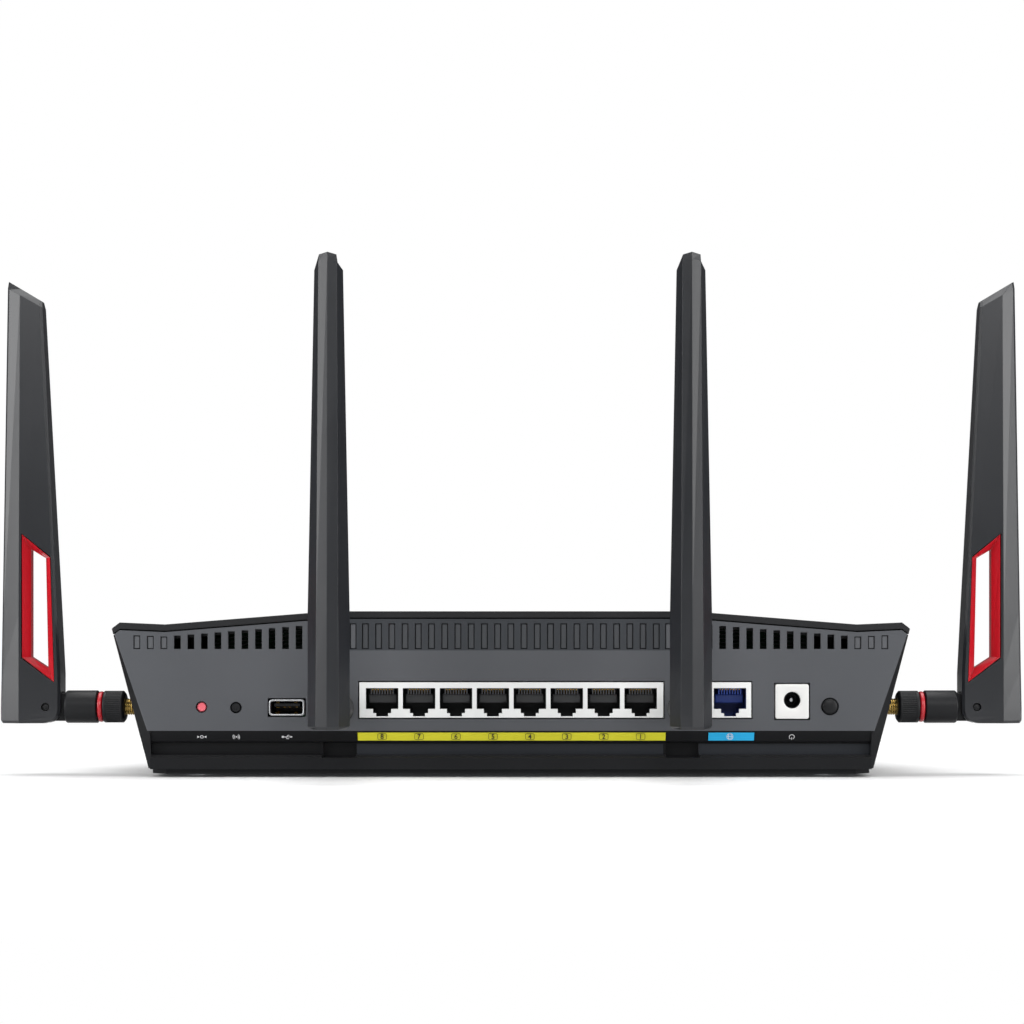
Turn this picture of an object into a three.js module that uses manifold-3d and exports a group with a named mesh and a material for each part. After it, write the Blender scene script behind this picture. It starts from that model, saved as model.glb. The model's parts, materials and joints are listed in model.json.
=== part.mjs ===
// A wireless router with four screw-on antennas, as an assembly of separate pieces.
// Millimetres, +Z up. The socket panel faces -Y, and the part stands on its four rubber feet.
import * as THREE from "three";
import { mergeVertices } from "three/addons/utils/BufferGeometryUtils.js";
import Module from "manifold-3d";

const wasm = await Module();
wasm.setup();

// ---- Driving sizes ----

const FIT = 0.3; // the gap that two touching pieces keep
const ROUND = 20; // sides of a round piece

const body = {
  baseHalfWidth: 137.1, // at the sill, where the walls start
  lean: 0.2475, // how far each wall leans out for each millimetre of height
  depth: 175, // at the sill, from the socket panel to the front wall
  shoulder: 64, // where the straight sides end and the taper starts
  taper: 36, // how much narrower each side is at the front corner
  nose: 14, // size of the front corner's bevel
  floor: 1.2, // underside of the base plate above the table
  sill: 3.1,
  plateInset: 1.4, // the base plate is this much smaller than the walls
  wall: 2.4,
};

const roof = {
  middle: 62.4, // height of the flat middle at the rear
  crease: 67.7, // half width of the flat middle
  valley: 130,
  valleyDrop: 4.95,
  shoulder: 147,
  shoulderDrop: 4.2,
  edgeFall: 0.76, // slope of the outermost bevel
  flat: 24, // depth of the level stretch behind the socket panel
  frontDrop: 31, // how much lower the front edge is than the rear
  overrun: 14, // how far the front edge is beyond the front of the sill
  thickness: 2.4,
  shadowGap: 0.5,
  lipDepth: 3.2,
  lipWall: 1.5,
};

const rearStep = {
  panelBottom: 17.5, // the socket panel ends here and the label strip starts
  labelBottom: 13.3,
  labelSetBack: 2,
  recess: 4.5,
  ledgeTop: 8.3,
  ledgeBottom: 7.4,
  ledgeOut: 1,
  endInset: 1.6,
  pocketWidth: 12.5,
  pocketTop: 12.9,
};

const rearVents = {
  width: 2.5,
  bottom: 48.2,
  belowRoof: 4.6,
  blindDepth: 0.9,
  middlePitch: 4.97,
  middleEach: 11, // blind slots on each side of the middle one
  sidePitch: 5.08,
  sideFirst: 79.6, // where the open slots start on each side
  open: 10,
  blindInside: 4, // blind slots next to the open ones, on each end of them
  blindOutside: 3,
  cornerMargin: 6,
};

const board = { top: 21.6, thickness: 1.5, gap: 2.5, rear: 6, fromFront: 25 };
const socket = {
  plate: 0.6, // thickness of the metal frame
  gap: 0.45, // between a frame and the panel's cut-out
  bottom: 22.4,
  height: 13.3,
  depth: 16,
  proud: 0.3,
  openingWidth: 12.2,
  openingBottom: 25.7,
  openingTop: 33.5,
  stepWidth: 6.8,
  stepBottom: 24.1,
  latchWidth: 4.5,
  latchBottom: 22.9,
};
const lan = { count: 8, pitch: 13.88, centre: 0.2, width: 114.2 };
const wan = { count: 1, pitch: 13.88, centre: 82.35, width: 15.95 };
const power = { centre: 105.7, middle: 28.5, width: 12.6, height: 13.05, depth: 14 };
const powerHole = { radius: 3.1, middle: 29, depth: 10.5, pin: 1.1, pinLength: 7 };
const usb = { centre: -84.2, middle: 26.2, width: 13.4, height: 6.1, shell: 0.75, depth: 14, proud: 0.5 };
const smallKey = { cap: 1.75, skirt: 3.2 };
const powerKey = { cap: 2.9, skirt: 4.6 };
const keys = [
  // The side it is on, how far in from the wall's edge, its height, and how far it stands out
  { name: "power_button", look: "darkPlastic", side: 1, inset: 23, z: 26.6, proud: 1.1, ...powerKey },
  { name: "pairing_button", look: "darkPlastic", side: -1, inset: 39.5, z: 26.2, proud: 0.35, ...smallKey },
  { name: "reset_button", look: "resetRed", side: -1, inset: 26.6, z: 26.4, proud: -0.5, ...smallKey },
];
const keySlack = 0.42; // between a cap and its hole
const keyLength = 8;
const frontKeys = [
  { name: "radio_button", x: 62, z: 17 },
  { name: "light_button", x: 76, z: 17 },
];
const frontKey = { cap: 3, proud: 0.7, skirt: 4.6 };
const frontUsb = { centre: -66, middle: 16 };

const label = { top: 16.8, bottom: 13.75, sink: 0.5, thickness: 0.3 };
const lanLabel = { from: -57.6, to: 58.2 };
const wanLabel = { from: 74.3, to: 91.5 };
const lightWindow = { fromFront: 47, depth: 7, width: 62, sink: 1.1, below: 0.05 };
const stripe = { rear: 38, fromFront: 63, halfWidth: 58, band: 6, sink: 1.1, thickness: 0.8 };
const topVents = { rows: 9, pitch: 8, width: 3, start: 40, from: 76, middle: 98, to: 120, rib: 3, skew: 6 };
const floorVents = { rows: 9, pitch: 9, width: 3, length: 62, start: 58, centre: 68 };

// Feet and screws are placed from the walls, so they follow a wider or deeper body.
const foot = { radius: 9, sink: 1.6, fromRear: 34, fromFront: 25, rearInset: 25.1, frontInset: 53.1 };
const screw = { radius: 1.6, head: 3, headHeight: 1.6, sink: 1, top: 33, boss: 4.4, joint: 24 };
const screwPlaces = { fromRear: 17, fromFront: 35, rearInset: 17.1, frontInset: 45.1 };
const heatsink = { width: 70, depth: 46, base: 3, fin: 1.6, fins: 11, height: 11, x: 12, y: 78 };
const shieldCan = { width: 46, depth: 38, height: 5, x: -62, y: 78 };

const antenna = {
  connectorHeight: 26,
  rearCentre: 64.6, // how far each rear antenna is from the middle
  sideSetBack: 20, // how far the side antennas are in front of the socket panel
  barrel: 3.2,
  barrelIn: 7,
  blockRadius: 3.6,
  blockLength: 6,
  nutStart: 5.2,
  nutEnd: 13.5,
  nutRadius: 6.2,
  nutRidges: 18,
  ringStart: 13.8,
  ringEnd: 15.5,
  ringRadius: 5.9,
  elbowStart: 15.8,
  elbowEnd: 28.4,
  elbowRadius: 6.25,
  pivot: 35,
  tongueHalf: 3,
  tongueRadius: 5.4,
  pin: 1.3,
  innerEdge: 29.5,
  outerEdge: 53.4,
  bladeBottom: 19.8,
  bladeTop: 189.2,
  upright: 20, // the inner edge is upright for this height, then leans out
  parallel: 42, // the faces are parallel for this height, then draw together
  topFall: 7.8, // the top slants down toward the inner edge
  topOuterInset: 2.7,
  topWidth: 14,
  topBevelWidth: 1.9,
  topBevelHeight: 2.6,
  bottomHalf: 7.5,
  topHalf: 5.15,
  crease: 8.4, // from the outer edge to the thickest line of the blade
  faceTaper: 0.18, // share of the thickness lost from that line to the inner edge
  ridgeDepth: 1.25,
  ridgeHalfBottom: 4.1,
  ridgeHalfTop: 3.3,
  innerBevel: 1,
  heel: 5, // radius of the inner bottom corner
};
// The window's corners: distance from the blade's outer edge, then height.
const bladeWindow = {
  outer: [[9.2, 92.4], [20.3, 83.6], [21.9, 35.1], [9.4, 44.5]],
  inner: [[12.1, 86.4], [17.8, 82.9], [18.7, 40.8], [12.1, 45.1]],
  sink: 0.25,
  lipHalf: 2.2,
};

// ---- Solids ----

// A closed geometry as a solid that can be joined and cut.
function solid(geometry) {
  const plain = geometry.index ? geometry.toNonIndexed() : geometry.clone();
  plain.deleteAttribute("normal");
  plain.deleteAttribute("uv");
  const merged = mergeVertices(plain, 1e-4);
  const triVerts = new Uint32Array(merged.index.array);
  const vertProperties = new Float32Array(merged.attributes.position.array);
  const made = new wasm.Manifold(new wasm.Mesh({ numProp: 3, vertProperties, triVerts }));
  if (made.volume() >= 0) return made;
  for (let i = 0; i < triVerts.length; i += 3)
    [triVerts[i + 1], triVerts[i + 2]] = [triVerts[i + 2], triVerts[i + 1]];
  return new wasm.Manifold(new wasm.Mesh({ numProp: 3, vertProperties, triVerts }));
}

function geometryOf(made) {
  const mesh = made.getMesh();
  const position = new Float32Array(mesh.numVert * 3);
  for (let i = 0; i < mesh.numVert; i++)
    position.set(mesh.vertProperties.subarray(i * mesh.numProp, i * mesh.numProp + 3), i * 3);
  const geometry = new THREE.BufferGeometry();
  geometry.setAttribute("position", new THREE.BufferAttribute(position, 3));
  geometry.setIndex(new THREE.BufferAttribute(new Uint32Array(mesh.triVerts), 1));
  geometry.computeVertexNormals();
  return geometry;
}

const join = (...pieces) => pieces.reduce((whole, piece) => whole.add(piece));
const cut = (whole, ...pieces) => pieces.reduce((left, piece) => left.subtract(piece), whole);

function box(x0, x1, y0, y1, z0, z1) {
  const geometry = new THREE.BoxGeometry(x1 - x0, y1 - y0, z1 - z0);
  return solid(geometry.translate((x0 + x1) / 2, (y0 + y1) / 2, (z0 + z1) / 2));
}

function extruded(points, length) {
  const shape = new THREE.Shape(points.map(([a, b]) => new THREE.Vector2(a, b)));
  return new THREE.ExtrudeGeometry(shape, { depth: length, bevelEnabled: false });
}

// An outline in x and y, carried up from z0 to z1.
const alongZ = (points, z0, z1) => solid(extruded(points, z1 - z0).translate(0, 0, z0));

// An outline in x and z, carried from y0 to y1.
const alongY = (points, y0, y1) =>
  solid(extruded(points, y1 - y0).rotateX(Math.PI / 2).translate(0, y1, 0));

// An outline in y and z, carried from x0 to x1.
function alongX(points, x0, x1) {
  const turn = new THREE.Matrix4().makeBasis(
    new THREE.Vector3(0, 1, 0),
    new THREE.Vector3(0, 0, 1),
    new THREE.Vector3(1, 0, 0),
  );
  return solid(extruded(points, x1 - x0).applyMatrix4(turn).translate(x0, 0, 0));
}

// A turned piece about the X axis: each profile point is [distance along the axis, radius].
function turnedX(profile, sides = ROUND) {
  const points = profile.map(([along, radius]) => new THREE.Vector2(radius, along));
  return solid(new THREE.LatheGeometry(points, sides).rotateZ(-Math.PI / 2));
}

const turnedY = (profile, x, z, sides = ROUND) => {
  const points = profile.map(([along, radius]) => new THREE.Vector2(radius, along));
  return solid(new THREE.LatheGeometry(points, sides).translate(x, 0, z));
};

const turnedZ = (profile, x, y, sides = ROUND) => {
  const points = profile.map(([along, radius]) => new THREE.Vector2(radius, along));
  return solid(new THREE.LatheGeometry(points, sides).rotateX(Math.PI / 2).translate(x, y, 0));
};

const rod = (from, to, radius) => [[from, 0], [from, radius], [to, radius], [to, 0]];

// A closed skin over rings of the same number of points, with a flat fan on each end.
function loft(rings) {
  const count = rings[0].length;
  const position = rings.flat(2);
  const index = [];
  for (let ring = 0; ring + 1 < rings.length; ring++)
    for (let i = 0; i < count; i++) {
      const a = ring * count + i;
      const b = ring * count + ((i + 1) % count);
      index.push(a, b, b + count, a, b + count, a + count);
    }
  const last = (rings.length - 1) * count;
  for (let i = 1; i + 1 < count; i++) index.push(0, i + 1, i, last, last + i, last + i + 1);
  const geometry = new THREE.BufferGeometry();
  geometry.setAttribute("position", new THREE.Float32BufferAttribute(position, 3));
  geometry.setIndex(index);
  return solid(geometry);
}

// ---- The body's outer form ----

const halfWidthAt = (z) => body.baseHalfWidth + body.lean * (z - body.sill);
const frontAt = (z) => body.depth + body.lean * (z - body.sill);

// The body's outline seen from above at one height, moved in by an inset.
// The bevel on the rear corners grows from nothing near the roof to its full size at the sill.
function outline(z, inset = 0) {
  const half = halfWidthAt(z) - inset;
  const front = frontAt(z) - inset;
  const bevel = Math.max(0.3, (6.1 * (roof.middle - z)) / roof.middle);
  const corner = half - body.taper;
  const right = [
    [half - bevel, inset],
    [half, inset + bevel],
    [half, body.shoulder],
    [corner, front - body.nose],
    [corner - body.nose, front],
  ];
  return [...right, ...right.map(([x, y]) => [-x, y]).reverse()];
}

const walls = (z0, z1, inset) =>
  loft([z0, roof.middle, z1].map((z) => outline(z, inset).map(([x, y]) => [x, y, z])));

// Height of the roof at the rear, by distance from the middle: a level middle, a slope down to
// a shallow valley, a rise to the shoulder and a bevel at the outer edge.
function roofProfile(x) {
  const creases = [
    [0, roof.middle],
    [roof.crease, roof.middle],
    [roof.valley, roof.middle - roof.valleyDrop],
    [roof.shoulder, roof.middle - roof.shoulderDrop],
  ];
  const distance = Math.abs(x);
  for (let i = 0; i + 1 < creases.length; i++) {
    const [x0, z0] = creases[i];
    const [x1, z1] = creases[i + 1];
    if (distance <= x1) return z0 + ((z1 - z0) * (distance - x0)) / (x1 - x0);
  }
  return roof.middle - roof.shoulderDrop - roof.edgeFall * (distance - roof.shoulder);
}

const roofSlope = roof.frontDrop / (body.depth + roof.overrun - roof.flat);
const roofFall = (y) => Math.max(0, y - roof.flat) * roofSlope;
const roofAt = (x, y) => roofProfile(x) - roofFall(y);

// Everything between a level far below and the roof moved down by drop.
function underRoof(drop) {
  const creases = [roof.crease, roof.valley, roof.shoulder, halfWidthAt(roof.middle) + 40];
  const across = [...creases.map((x) => -x).reverse(), ...creases];
  const rows = [-20, roof.flat, body.depth + 60];
  const position = [];
  const index = [];
  const low = -40;
  for (const y of rows)
    for (const x of across) position.push(x, y, roofAt(x, y) - drop, x, y, low);
  const top = (i, j) => 2 * (j * across.length + i);
  const quad = (a, b, c, d) => index.push(a, b, c, a, c, d);
  const lastX = across.length - 1;
  const lastY = rows.length - 1;
  for (let j = 0; j < lastY; j++)
    for (let i = 0; i < lastX; i++) {
      quad(top(i, j), top(i + 1, j), top(i + 1, j + 1), top(i, j + 1));
      quad(top(i, j) + 1, top(i, j + 1) + 1, top(i + 1, j + 1) + 1, top(i + 1, j) + 1);
    }
  for (let i = 0; i < lastX; i++) {
    quad(top(i, 0), top(i, 0) + 1, top(i + 1, 0) + 1, top(i + 1, 0));
    quad(top(i, lastY), top(i + 1, lastY), top(i + 1, lastY) + 1, top(i, lastY) + 1);
  }
  for (let j = 0; j < lastY; j++) {
    quad(top(0, j), top(0, j + 1), top(0, j + 1) + 1, top(0, j) + 1);
    quad(top(lastX, j), top(lastX, j) + 1, top(lastX, j + 1) + 1, top(lastX, j + 1));
  }
  const geometry = new THREE.BufferGeometry();
  geometry.setAttribute("position", new THREE.Float32BufferAttribute(position, 3));
  geometry.setIndex(index);
  return solid(geometry);
}

const mirrored = [-1, 1];
const cornersFrom = ({ fromRear, fromFront, rearInset, frontInset }) => {
  const rearX = body.baseHalfWidth - rearInset;
  const frontX = body.baseHalfWidth - frontInset;
  const frontY = body.depth - fromFront;
  return [
    ["rear_left", -rearX, fromRear],
    ["rear_right", rearX, fromRear],
    ["front_left", -frontX, frontY],
    ["front_right", frontX, frontY],
  ];
};
const feetAt = cornersFrom(foot);
const screwsAt = cornersFrom(screwPlaces);
const keyPlace = (key) => key.side * (halfWidthAt(key.z) - key.inset);

// ---- Bottom case ----

// A plate shape on the slanted label strip, between two depths measured outward from it.
function onLabelStrip(x0, x1, outer, inner) {
  const fall = rearStep.panelBottom - rearStep.labelBottom;
  const slant = Math.hypot(fall, rearStep.labelSetBack);
  const out = [-fall / slant, -rearStep.labelSetBack / slant];
  const at = (z, off) => {
    const y = (rearStep.labelSetBack * (rearStep.panelBottom - z)) / fall;
    return [y + out[0] * off, z + out[1] * off];
  };
  return alongX(
    [at(label.top, outer), at(label.top, inner), at(label.bottom, inner), at(label.bottom, outer)],
    x0,
    x1,
  );
}

// The slots under the roof: shallow ones in the middle, and open ones in a row on each side.
function rearVentCuts() {
  const { middleEach, middlePitch, sidePitch, sideFirst, open, blindInside, blindOutside } = rearVents;
  const slots = [];
  for (let i = -middleEach; i <= middleEach; i++) slots.push({ x: i * middlePitch, blind: true });
  for (let i = -blindInside; i < open + blindOutside; i++)
    for (const side of mirrored)
      slots.push({ x: side * (sideFirst + i * sidePitch), blind: i < 0 || i >= open });
  const half = rearVents.width / 2;
  const room = halfWidthAt(rearVents.bottom) - rearVents.cornerMargin;
  return slots
    .filter(({ x }) => Math.abs(x) + half <= room)
    .map(({ x, blind }) => {
      const deep = blind ? rearVents.blindDepth : body.wall + 1;
      return box(x - half, x + half, -3, deep, rearVents.bottom, roofAt(x, 0) - rearVents.belowRoof);
    });
}

function socketCut(row) {
  const half = row.width / 2 + socket.gap;
  const bottom = socket.bottom - socket.gap;
  const top = socket.bottom + socket.height + socket.gap;
  return box(row.centre - half, row.centre + half, -3, body.wall + 3, bottom, top);
}

function usbCut(x, z, y0, y1) {
  const half = usb.width / 2 + socket.gap;
  const tall = usb.height / 2 + socket.gap;
  return box(x - half, x + half, y0, y1, z - tall, z + tall);
}

function bottomCase() {
  const innerFloor = body.floor + body.wall;
  const stepBack = rearStep.recess + rearStep.labelSetBack + body.wall;
  const shelfTop = board.top - board.thickness - FIT;
  const plate = loft(
    [body.floor, body.sill + 0.4].map((z) =>
      outline(body.sill, body.plateInset).map(([x, y]) => [x, y, z]),
    ),
  );
  const shell = walls(body.sill, 90, 0).intersect(underRoof(roof.thickness + roof.shadowGap));
  const far = halfWidthAt(roof.middle) + 10;
  const hollow = walls(innerFloor, 90, body.wall).intersect(
    join(
      box(-far, far, stepBack, 260, innerFloor, 95),
      box(-far, far, -5, 260, shelfTop, 95),
    ),
  );
  const grooveHalf = body.baseHalfWidth - rearStep.endInset;
  const ledge = alongX(
    [
      [-rearStep.ledgeOut, body.sill],
      [stepBack, body.sill],
      [stepBack, rearStep.ledgeTop],
      [rearStep.recess * 0.2, rearStep.ledgeTop],
      [-rearStep.ledgeOut, rearStep.ledgeBottom],
    ],
    -grooveHalf,
    grooveHalf,
  );
  const groove = alongX(
    [
      [-6, rearStep.panelBottom],
      [-6, rearStep.ledgeTop],
      [rearStep.recess + 0.3, rearStep.ledgeTop],
      [rearStep.recess, rearStep.labelBottom - 0.3],
      [rearStep.labelSetBack, rearStep.labelBottom],
      [0, rearStep.panelBottom],
    ],
    -grooveHalf,
    grooveHalf,
  );
  let made = cut(join(shell.subtract(groove), ledge.subtract(groove)), hollow);
  const bosses = screwsAt.map(([, x, y]) =>
    turnedZ(rod(innerFloor - 1, screw.joint, screw.boss), x, y, 12),
  );
  made = join(made, plate, ...bosses);
  const pockets = mirrored.map((side) => {
    const x = side * antenna.rearCentre;
    const half = rearStep.pocketWidth / 2;
    return box(x - half, x + half, -4, rearStep.recess + 2, rearStep.ledgeBottom, rearStep.pocketTop);
  });
  const jackHole = antenna.barrel + FIT;
  const rearHoles = mirrored.map((side) =>
    turnedY(rod(-4, body.wall + 4, jackHole), side * antenna.rearCentre, antenna.connectorHeight),
  );
  const sideHole = turnedX(
    rod(-halfWidthAt(antenna.connectorHeight) - 8, halfWidthAt(antenna.connectorHeight) + 8, jackHole),
  ).translate([0, antenna.sideSetBack, antenna.connectorHeight]);
  const powerHalf = power.width / 2 + socket.gap;
  const powerTall = power.height / 2 + socket.gap;
  const powerCut = box(
    power.centre - powerHalf,
    power.centre + powerHalf,
    -3,
    body.wall + 3,
    power.middle - powerTall,
    power.middle + powerTall,
  );
  const keyHoles = keys.map((key) =>
    turnedY(rod(-3, body.wall + 3, key.cap + keySlack), keyPlace(key), key.z),
  );
  const frontHoles = frontKeys.map((key) =>
    turnedY(rod(body.depth - 10, body.depth + 20, frontKey.cap + keySlack), key.x, key.z),
  );
  const footHoles = feetAt.map(([, x, y]) =>
    turnedZ(rod(-2, body.floor + foot.sink, foot.radius + FIT), x, y),
  );
  const screwHoles = screwsAt.flatMap(([, x, y]) => [
    turnedZ(rod(-2, body.floor + screw.sink + screw.headHeight, screw.head + FIT), x, y, 12),
    turnedZ(rod(-2, screw.joint + 5, screw.radius + FIT), x, y, 12),
  ]);
  const ventsBelow = [];
  for (let row = 0; row < floorVents.rows; row++)
    for (const side of mirrored) {
      const y = floorVents.start + row * floorVents.pitch;
      const x = side * floorVents.centre;
      const half = floorVents.length / 2;
      ventsBelow.push(box(x - half, x + half, y, y + floorVents.width, -2, innerFloor + 2));
    }
  return cut(
    made,
    ...pockets,
    ...rearHoles,
    sideHole,
    powerCut,
    socketCut(lan),
    socketCut(wan),
    usbCut(usb.centre, usb.middle, -3, body.wall + 3),
    usbCut(frontUsb.centre, frontUsb.middle, body.depth - 10, body.depth + 20),
    ...keyHoles,
    ...frontHoles,
    ...footHoles,
    ...screwHoles,
    ...rearVentCuts(),
    ...ventsBelow,
    onLabelStrip(lanLabel.from - FIT, lanLabel.to + FIT, 2, -label.sink),
    onLabelStrip(wanLabel.from - FIT, wanLabel.to + FIT, 2, -label.sink),
  );
}

// ---- Top cover ----

// The stripe on the cover is a broad arrow that points forward.
function stripeOutline(grow) {
  const outer = stripe.halfWidth + grow;
  const inner = stripe.halfWidth - stripe.band - grow;
  const tip = body.depth - stripe.fromFront;
  return [
    [-outer, stripe.rear - grow],
    [-inner, stripe.rear - grow],
    [0, tip - stripe.band * 1.3 - grow * 1.5],
    [inner, stripe.rear - grow],
    [outer, stripe.rear - grow],
    [0, tip + stripe.band * 0.4 + grow * 1.5],
  ];
}

function windowOutline(grow) {
  const half = lightWindow.width / 2 + grow;
  const y0 = body.depth - lightWindow.fromFront - grow;
  const y1 = y0 + lightWindow.depth + 2 * grow;
  return [
    [-half, y0],
    [half, y0],
    [half - 4, y1],
    [4 - half, y1],
  ];
}

// A thin layer of an outline that follows the roof, between two depths below it.
const onRoof = (points, shallow, deep) =>
  alongZ(points, 0, 90).intersect(underRoof(shallow)).subtract(underRoof(deep));

function topVentCuts() {
  const cuts = [];
  for (let row = 0; row < topVents.rows; row++)
    for (const side of mirrored)
      for (const [from, to] of [
        [topVents.from, topVents.middle - topVents.rib / 2],
        [topVents.middle + topVents.rib / 2, topVents.to],
      ]) {
        const y = topVents.start + row * topVents.pitch;
        const skewAt = (x) => ((x - topVents.from) / (topVents.to - topVents.from)) * topVents.skew;
        const points = [
          [side * from, y + skewAt(from)],
          [side * to, y + skewAt(to)],
          [side * to, y + skewAt(to) + topVents.width],
          [side * from, y + skewAt(from) + topVents.width],
        ];
        cuts.push(alongZ(side > 0 ? points : points.reverse(), 5, 95));
      }
  return cuts;
}

function topCover() {
  const outer = walls(body.sill, 90, 0).intersect(underRoof(0));
  const plate = outer.subtract(underRoof(roof.thickness));
  const lipOut = body.wall + 0.4;
  const lip = walls(body.sill, 90, lipOut)
    .subtract(walls(body.sill - 1, 91, lipOut + roof.lipWall))
    .intersect(underRoof(roof.thickness - 0.6))
    .subtract(underRoof(roof.thickness + roof.lipDepth));
  const posts = screwsAt.map(([, x, y]) =>
    turnedZ(rod(screw.joint + FIT, 80, screw.boss), x, y, 12).intersect(
      underRoof(roof.thickness - 0.6),
    ),
  );
  const pilots = screwsAt.map(([, x, y]) =>
    turnedZ(rod(0, Math.min(screw.top + 1, roofAt(x, y) - 4), screw.radius + FIT), x, y, 12),
  );
  const below = 60; // deeper than the whole cover, so the layer is cut from above only
  const pocket = (points, sink) =>
    alongZ(points, 0, 90).subtract(underRoof(sink)).intersect(underRoof(-below));
  return cut(
    join(plate, lip, ...posts),
    ...pilots,
    ...topVentCuts(),
    pocket(stripeOutline(FIT), stripe.sink),
    pocket(windowOutline(FIT), lightWindow.sink),
  );
}

// ---- Pieces inside and behind the socket panel ----

// One socket's opening: a wide part with two narrower steps below it for the plug's latch.
function socketOpening(x, grow, y0, y1) {
  const part = (width, bottom) =>
    box(x - width / 2 - grow, x + width / 2 + grow, y0, y1, bottom - grow, socket.openingTop + grow);
  return join(
    part(socket.openingWidth, socket.openingBottom),
    part(socket.stepWidth, socket.stepBottom),
    part(socket.latchWidth, socket.latchBottom),
  );
}

const socketPlaces = (row) =>
  Array.from({ length: row.count }, (_, i) => row.centre + (i - (row.count - 1) / 2) * row.pitch);

function socketShield(row) {
  const half = row.width / 2;
  const top = socket.bottom + socket.height;
  const wall = socket.plate;
  const outer = box(row.centre - half, row.centre + half, -socket.proud, socket.depth, socket.bottom, top);
  const inner = box(
    row.centre - half + wall,
    row.centre + half - wall,
    wall,
    socket.depth + 1,
    socket.bottom - 1,
    top - wall,
  );
  return cut(outer, inner, ...socketPlaces(row).map((x) => socketOpening(x, 0, -2, 4)));
}

function socketHousing(row) {
  const half = row.width / 2 - socket.plate - FIT;
  const top = socket.bottom + socket.height - socket.plate - FIT;
  const front = socket.plate + FIT;
  const block = box(row.centre - half, row.centre + half, front, socket.depth - 1, socket.bottom, top);
  const wells = socketPlaces(row).map((x) => socketOpening(x, 0.1, -2, socket.depth - 3));
  return cut(block, ...wells);
}

function powerJack() {
  const half = power.width / 2;
  const tall = power.height / 2;
  const block = box(
    power.centre - half,
    power.centre + half,
    -socket.proud,
    power.depth,
    power.middle - tall,
    power.middle + tall,
  );
  return block.subtract(
    turnedY(rod(-2, powerHole.depth, powerHole.radius), power.centre, powerHole.middle),
  );
}

const powerPin = () =>
  turnedY(
    rod(powerHole.depth - FIT - powerHole.pinLength, powerHole.depth - FIT, powerHole.pin),
    power.centre,
    powerHole.middle,
    12,
  );

// A flat socket's metal shell, from its mouth at y0 to its closed end at y1.
function usbShell(x, z, y0, y1) {
  const half = usb.width / 2;
  const tall = usb.height / 2;
  const end = y1 > y0 ? y1 - usb.shell : y1 + usb.shell;
  const mouth = y1 > y0 ? y0 - 1 : y0 + 1;
  const outer = box(x - half, x + half, Math.min(y0, y1), Math.max(y0, y1), z - tall, z + tall);
  const inner = box(
    x - half + usb.shell,
    x + half - usb.shell,
    Math.min(mouth, end),
    Math.max(mouth, end),
    z - tall + usb.shell,
    z + tall - usb.shell,
  );
  return outer.subtract(inner);
}

const usbTongue = (x, z, y0, y1) =>
  box(x - usb.width / 2 + 1.6, x + usb.width / 2 - 1.6, y0, y1, z + 0.2, z + 1.75);

// A key: a round cap that passes the wall, with a wider skirt behind it that stops it.
function rearKey(key) {
  const dome = 0.35;
  const skirt = body.wall + FIT;
  const face = -key.proud;
  return turnedY(
    [
      [face, 0],
      [face + dome * 0.3, key.cap * 0.6],
      [face + dome, key.cap],
      [skirt, key.cap],
      [skirt, key.skirt],
      [skirt + 1, key.skirt],
      [skirt + 1, key.cap],
      [keyLength, key.cap],
      [keyLength, 0],
    ],
    keyPlace(key),
    key.z,
    14,
  );
}

function frontKeyPiece(key) {
  const face = frontAt(key.z) + frontKey.proud;
  const lowest = frontAt(key.z - frontKey.skirt);
  const skirt = lowest - body.wall * 1.1 - FIT;
  return turnedY(
    [
      [skirt - 5, 0],
      [skirt - 5, frontKey.cap],
      [skirt - 1, frontKey.cap],
      [skirt - 1, frontKey.skirt],
      [skirt, frontKey.skirt],
      [skirt, frontKey.cap],
      [face - 0.5, frontKey.cap],
      [face, frontKey.cap - 0.5],
      [face, 0],
    ],
    key.x,
    key.z,
    14,
  );
}

function mainBoard() {
  const z1 = board.top;
  const z0 = z1 - board.thickness;
  const half = halfWidthAt(z0) - body.wall - board.gap;
  const front = body.depth - board.fromFront;
  const frontHalf = half - body.taper + 4;
  const plate = alongZ(
    [
      [-half, board.rear],
      [half, board.rear],
      [half, body.shoulder - 6],
      [frontHalf, front],
      [-frontHalf, front],
      [-half, body.shoulder - 6],
    ],
    z0,
    z1,
  );
  const holes = screwsAt.map(([, x, y]) =>
    turnedZ(rod(z0 - 2, z1 + 2, screw.boss + 0.6), x, y, 12),
  );
  return cut(plate, ...holes);
}

function heatsinkPiece() {
  const z0 = board.top + FIT;
  const { x, y, width, depth, base, fin, fins, height } = heatsink;
  const foundation = box(x - width / 2, x + width / 2, y - depth / 2, y + depth / 2, z0, z0 + base);
  const blades = Array.from({ length: fins }, (_, i) => {
    const left = x - width / 2 + (i * (width - fin)) / (fins - 1);
    return box(left, left + fin, y - depth / 2, y + depth / 2, z0 + base - 0.5, z0 + base + height);
  });
  return join(foundation, ...blades);
}

function shieldCanPiece() {
  const { x, y, width, depth, height } = shieldCan;
  const z0 = board.top + FIT;
  const ring = (z, inset) => {
    const half = width / 2 - inset;
    const deep = depth / 2 - inset;
    return [
      [x - half + 2, y - deep, z],
      [x + half - 2, y - deep, z],
      [x + half, y - deep + 2, z],
      [x + half, y + deep - 2, z],
      [x + half - 2, y + deep, z],
      [x - half + 2, y + deep, z],
      [x - half, y + deep - 2, z],
      [x - half, y - deep + 2, z],
    ];
  };
  return loft([ring(z0, 0), ring(z0 + height - 0.8, 0), ring(z0 + height, 0.8)]);
}

const footPiece = (x, y) =>
  turnedZ(
    [
      [0, 0],
      [0, foot.radius - 0.8],
      [0.8, foot.radius],
      [body.floor + foot.sink - FIT, foot.radius],
      [body.floor + foot.sink - FIT, 0],
    ],
    x,
    y,
  );

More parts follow.
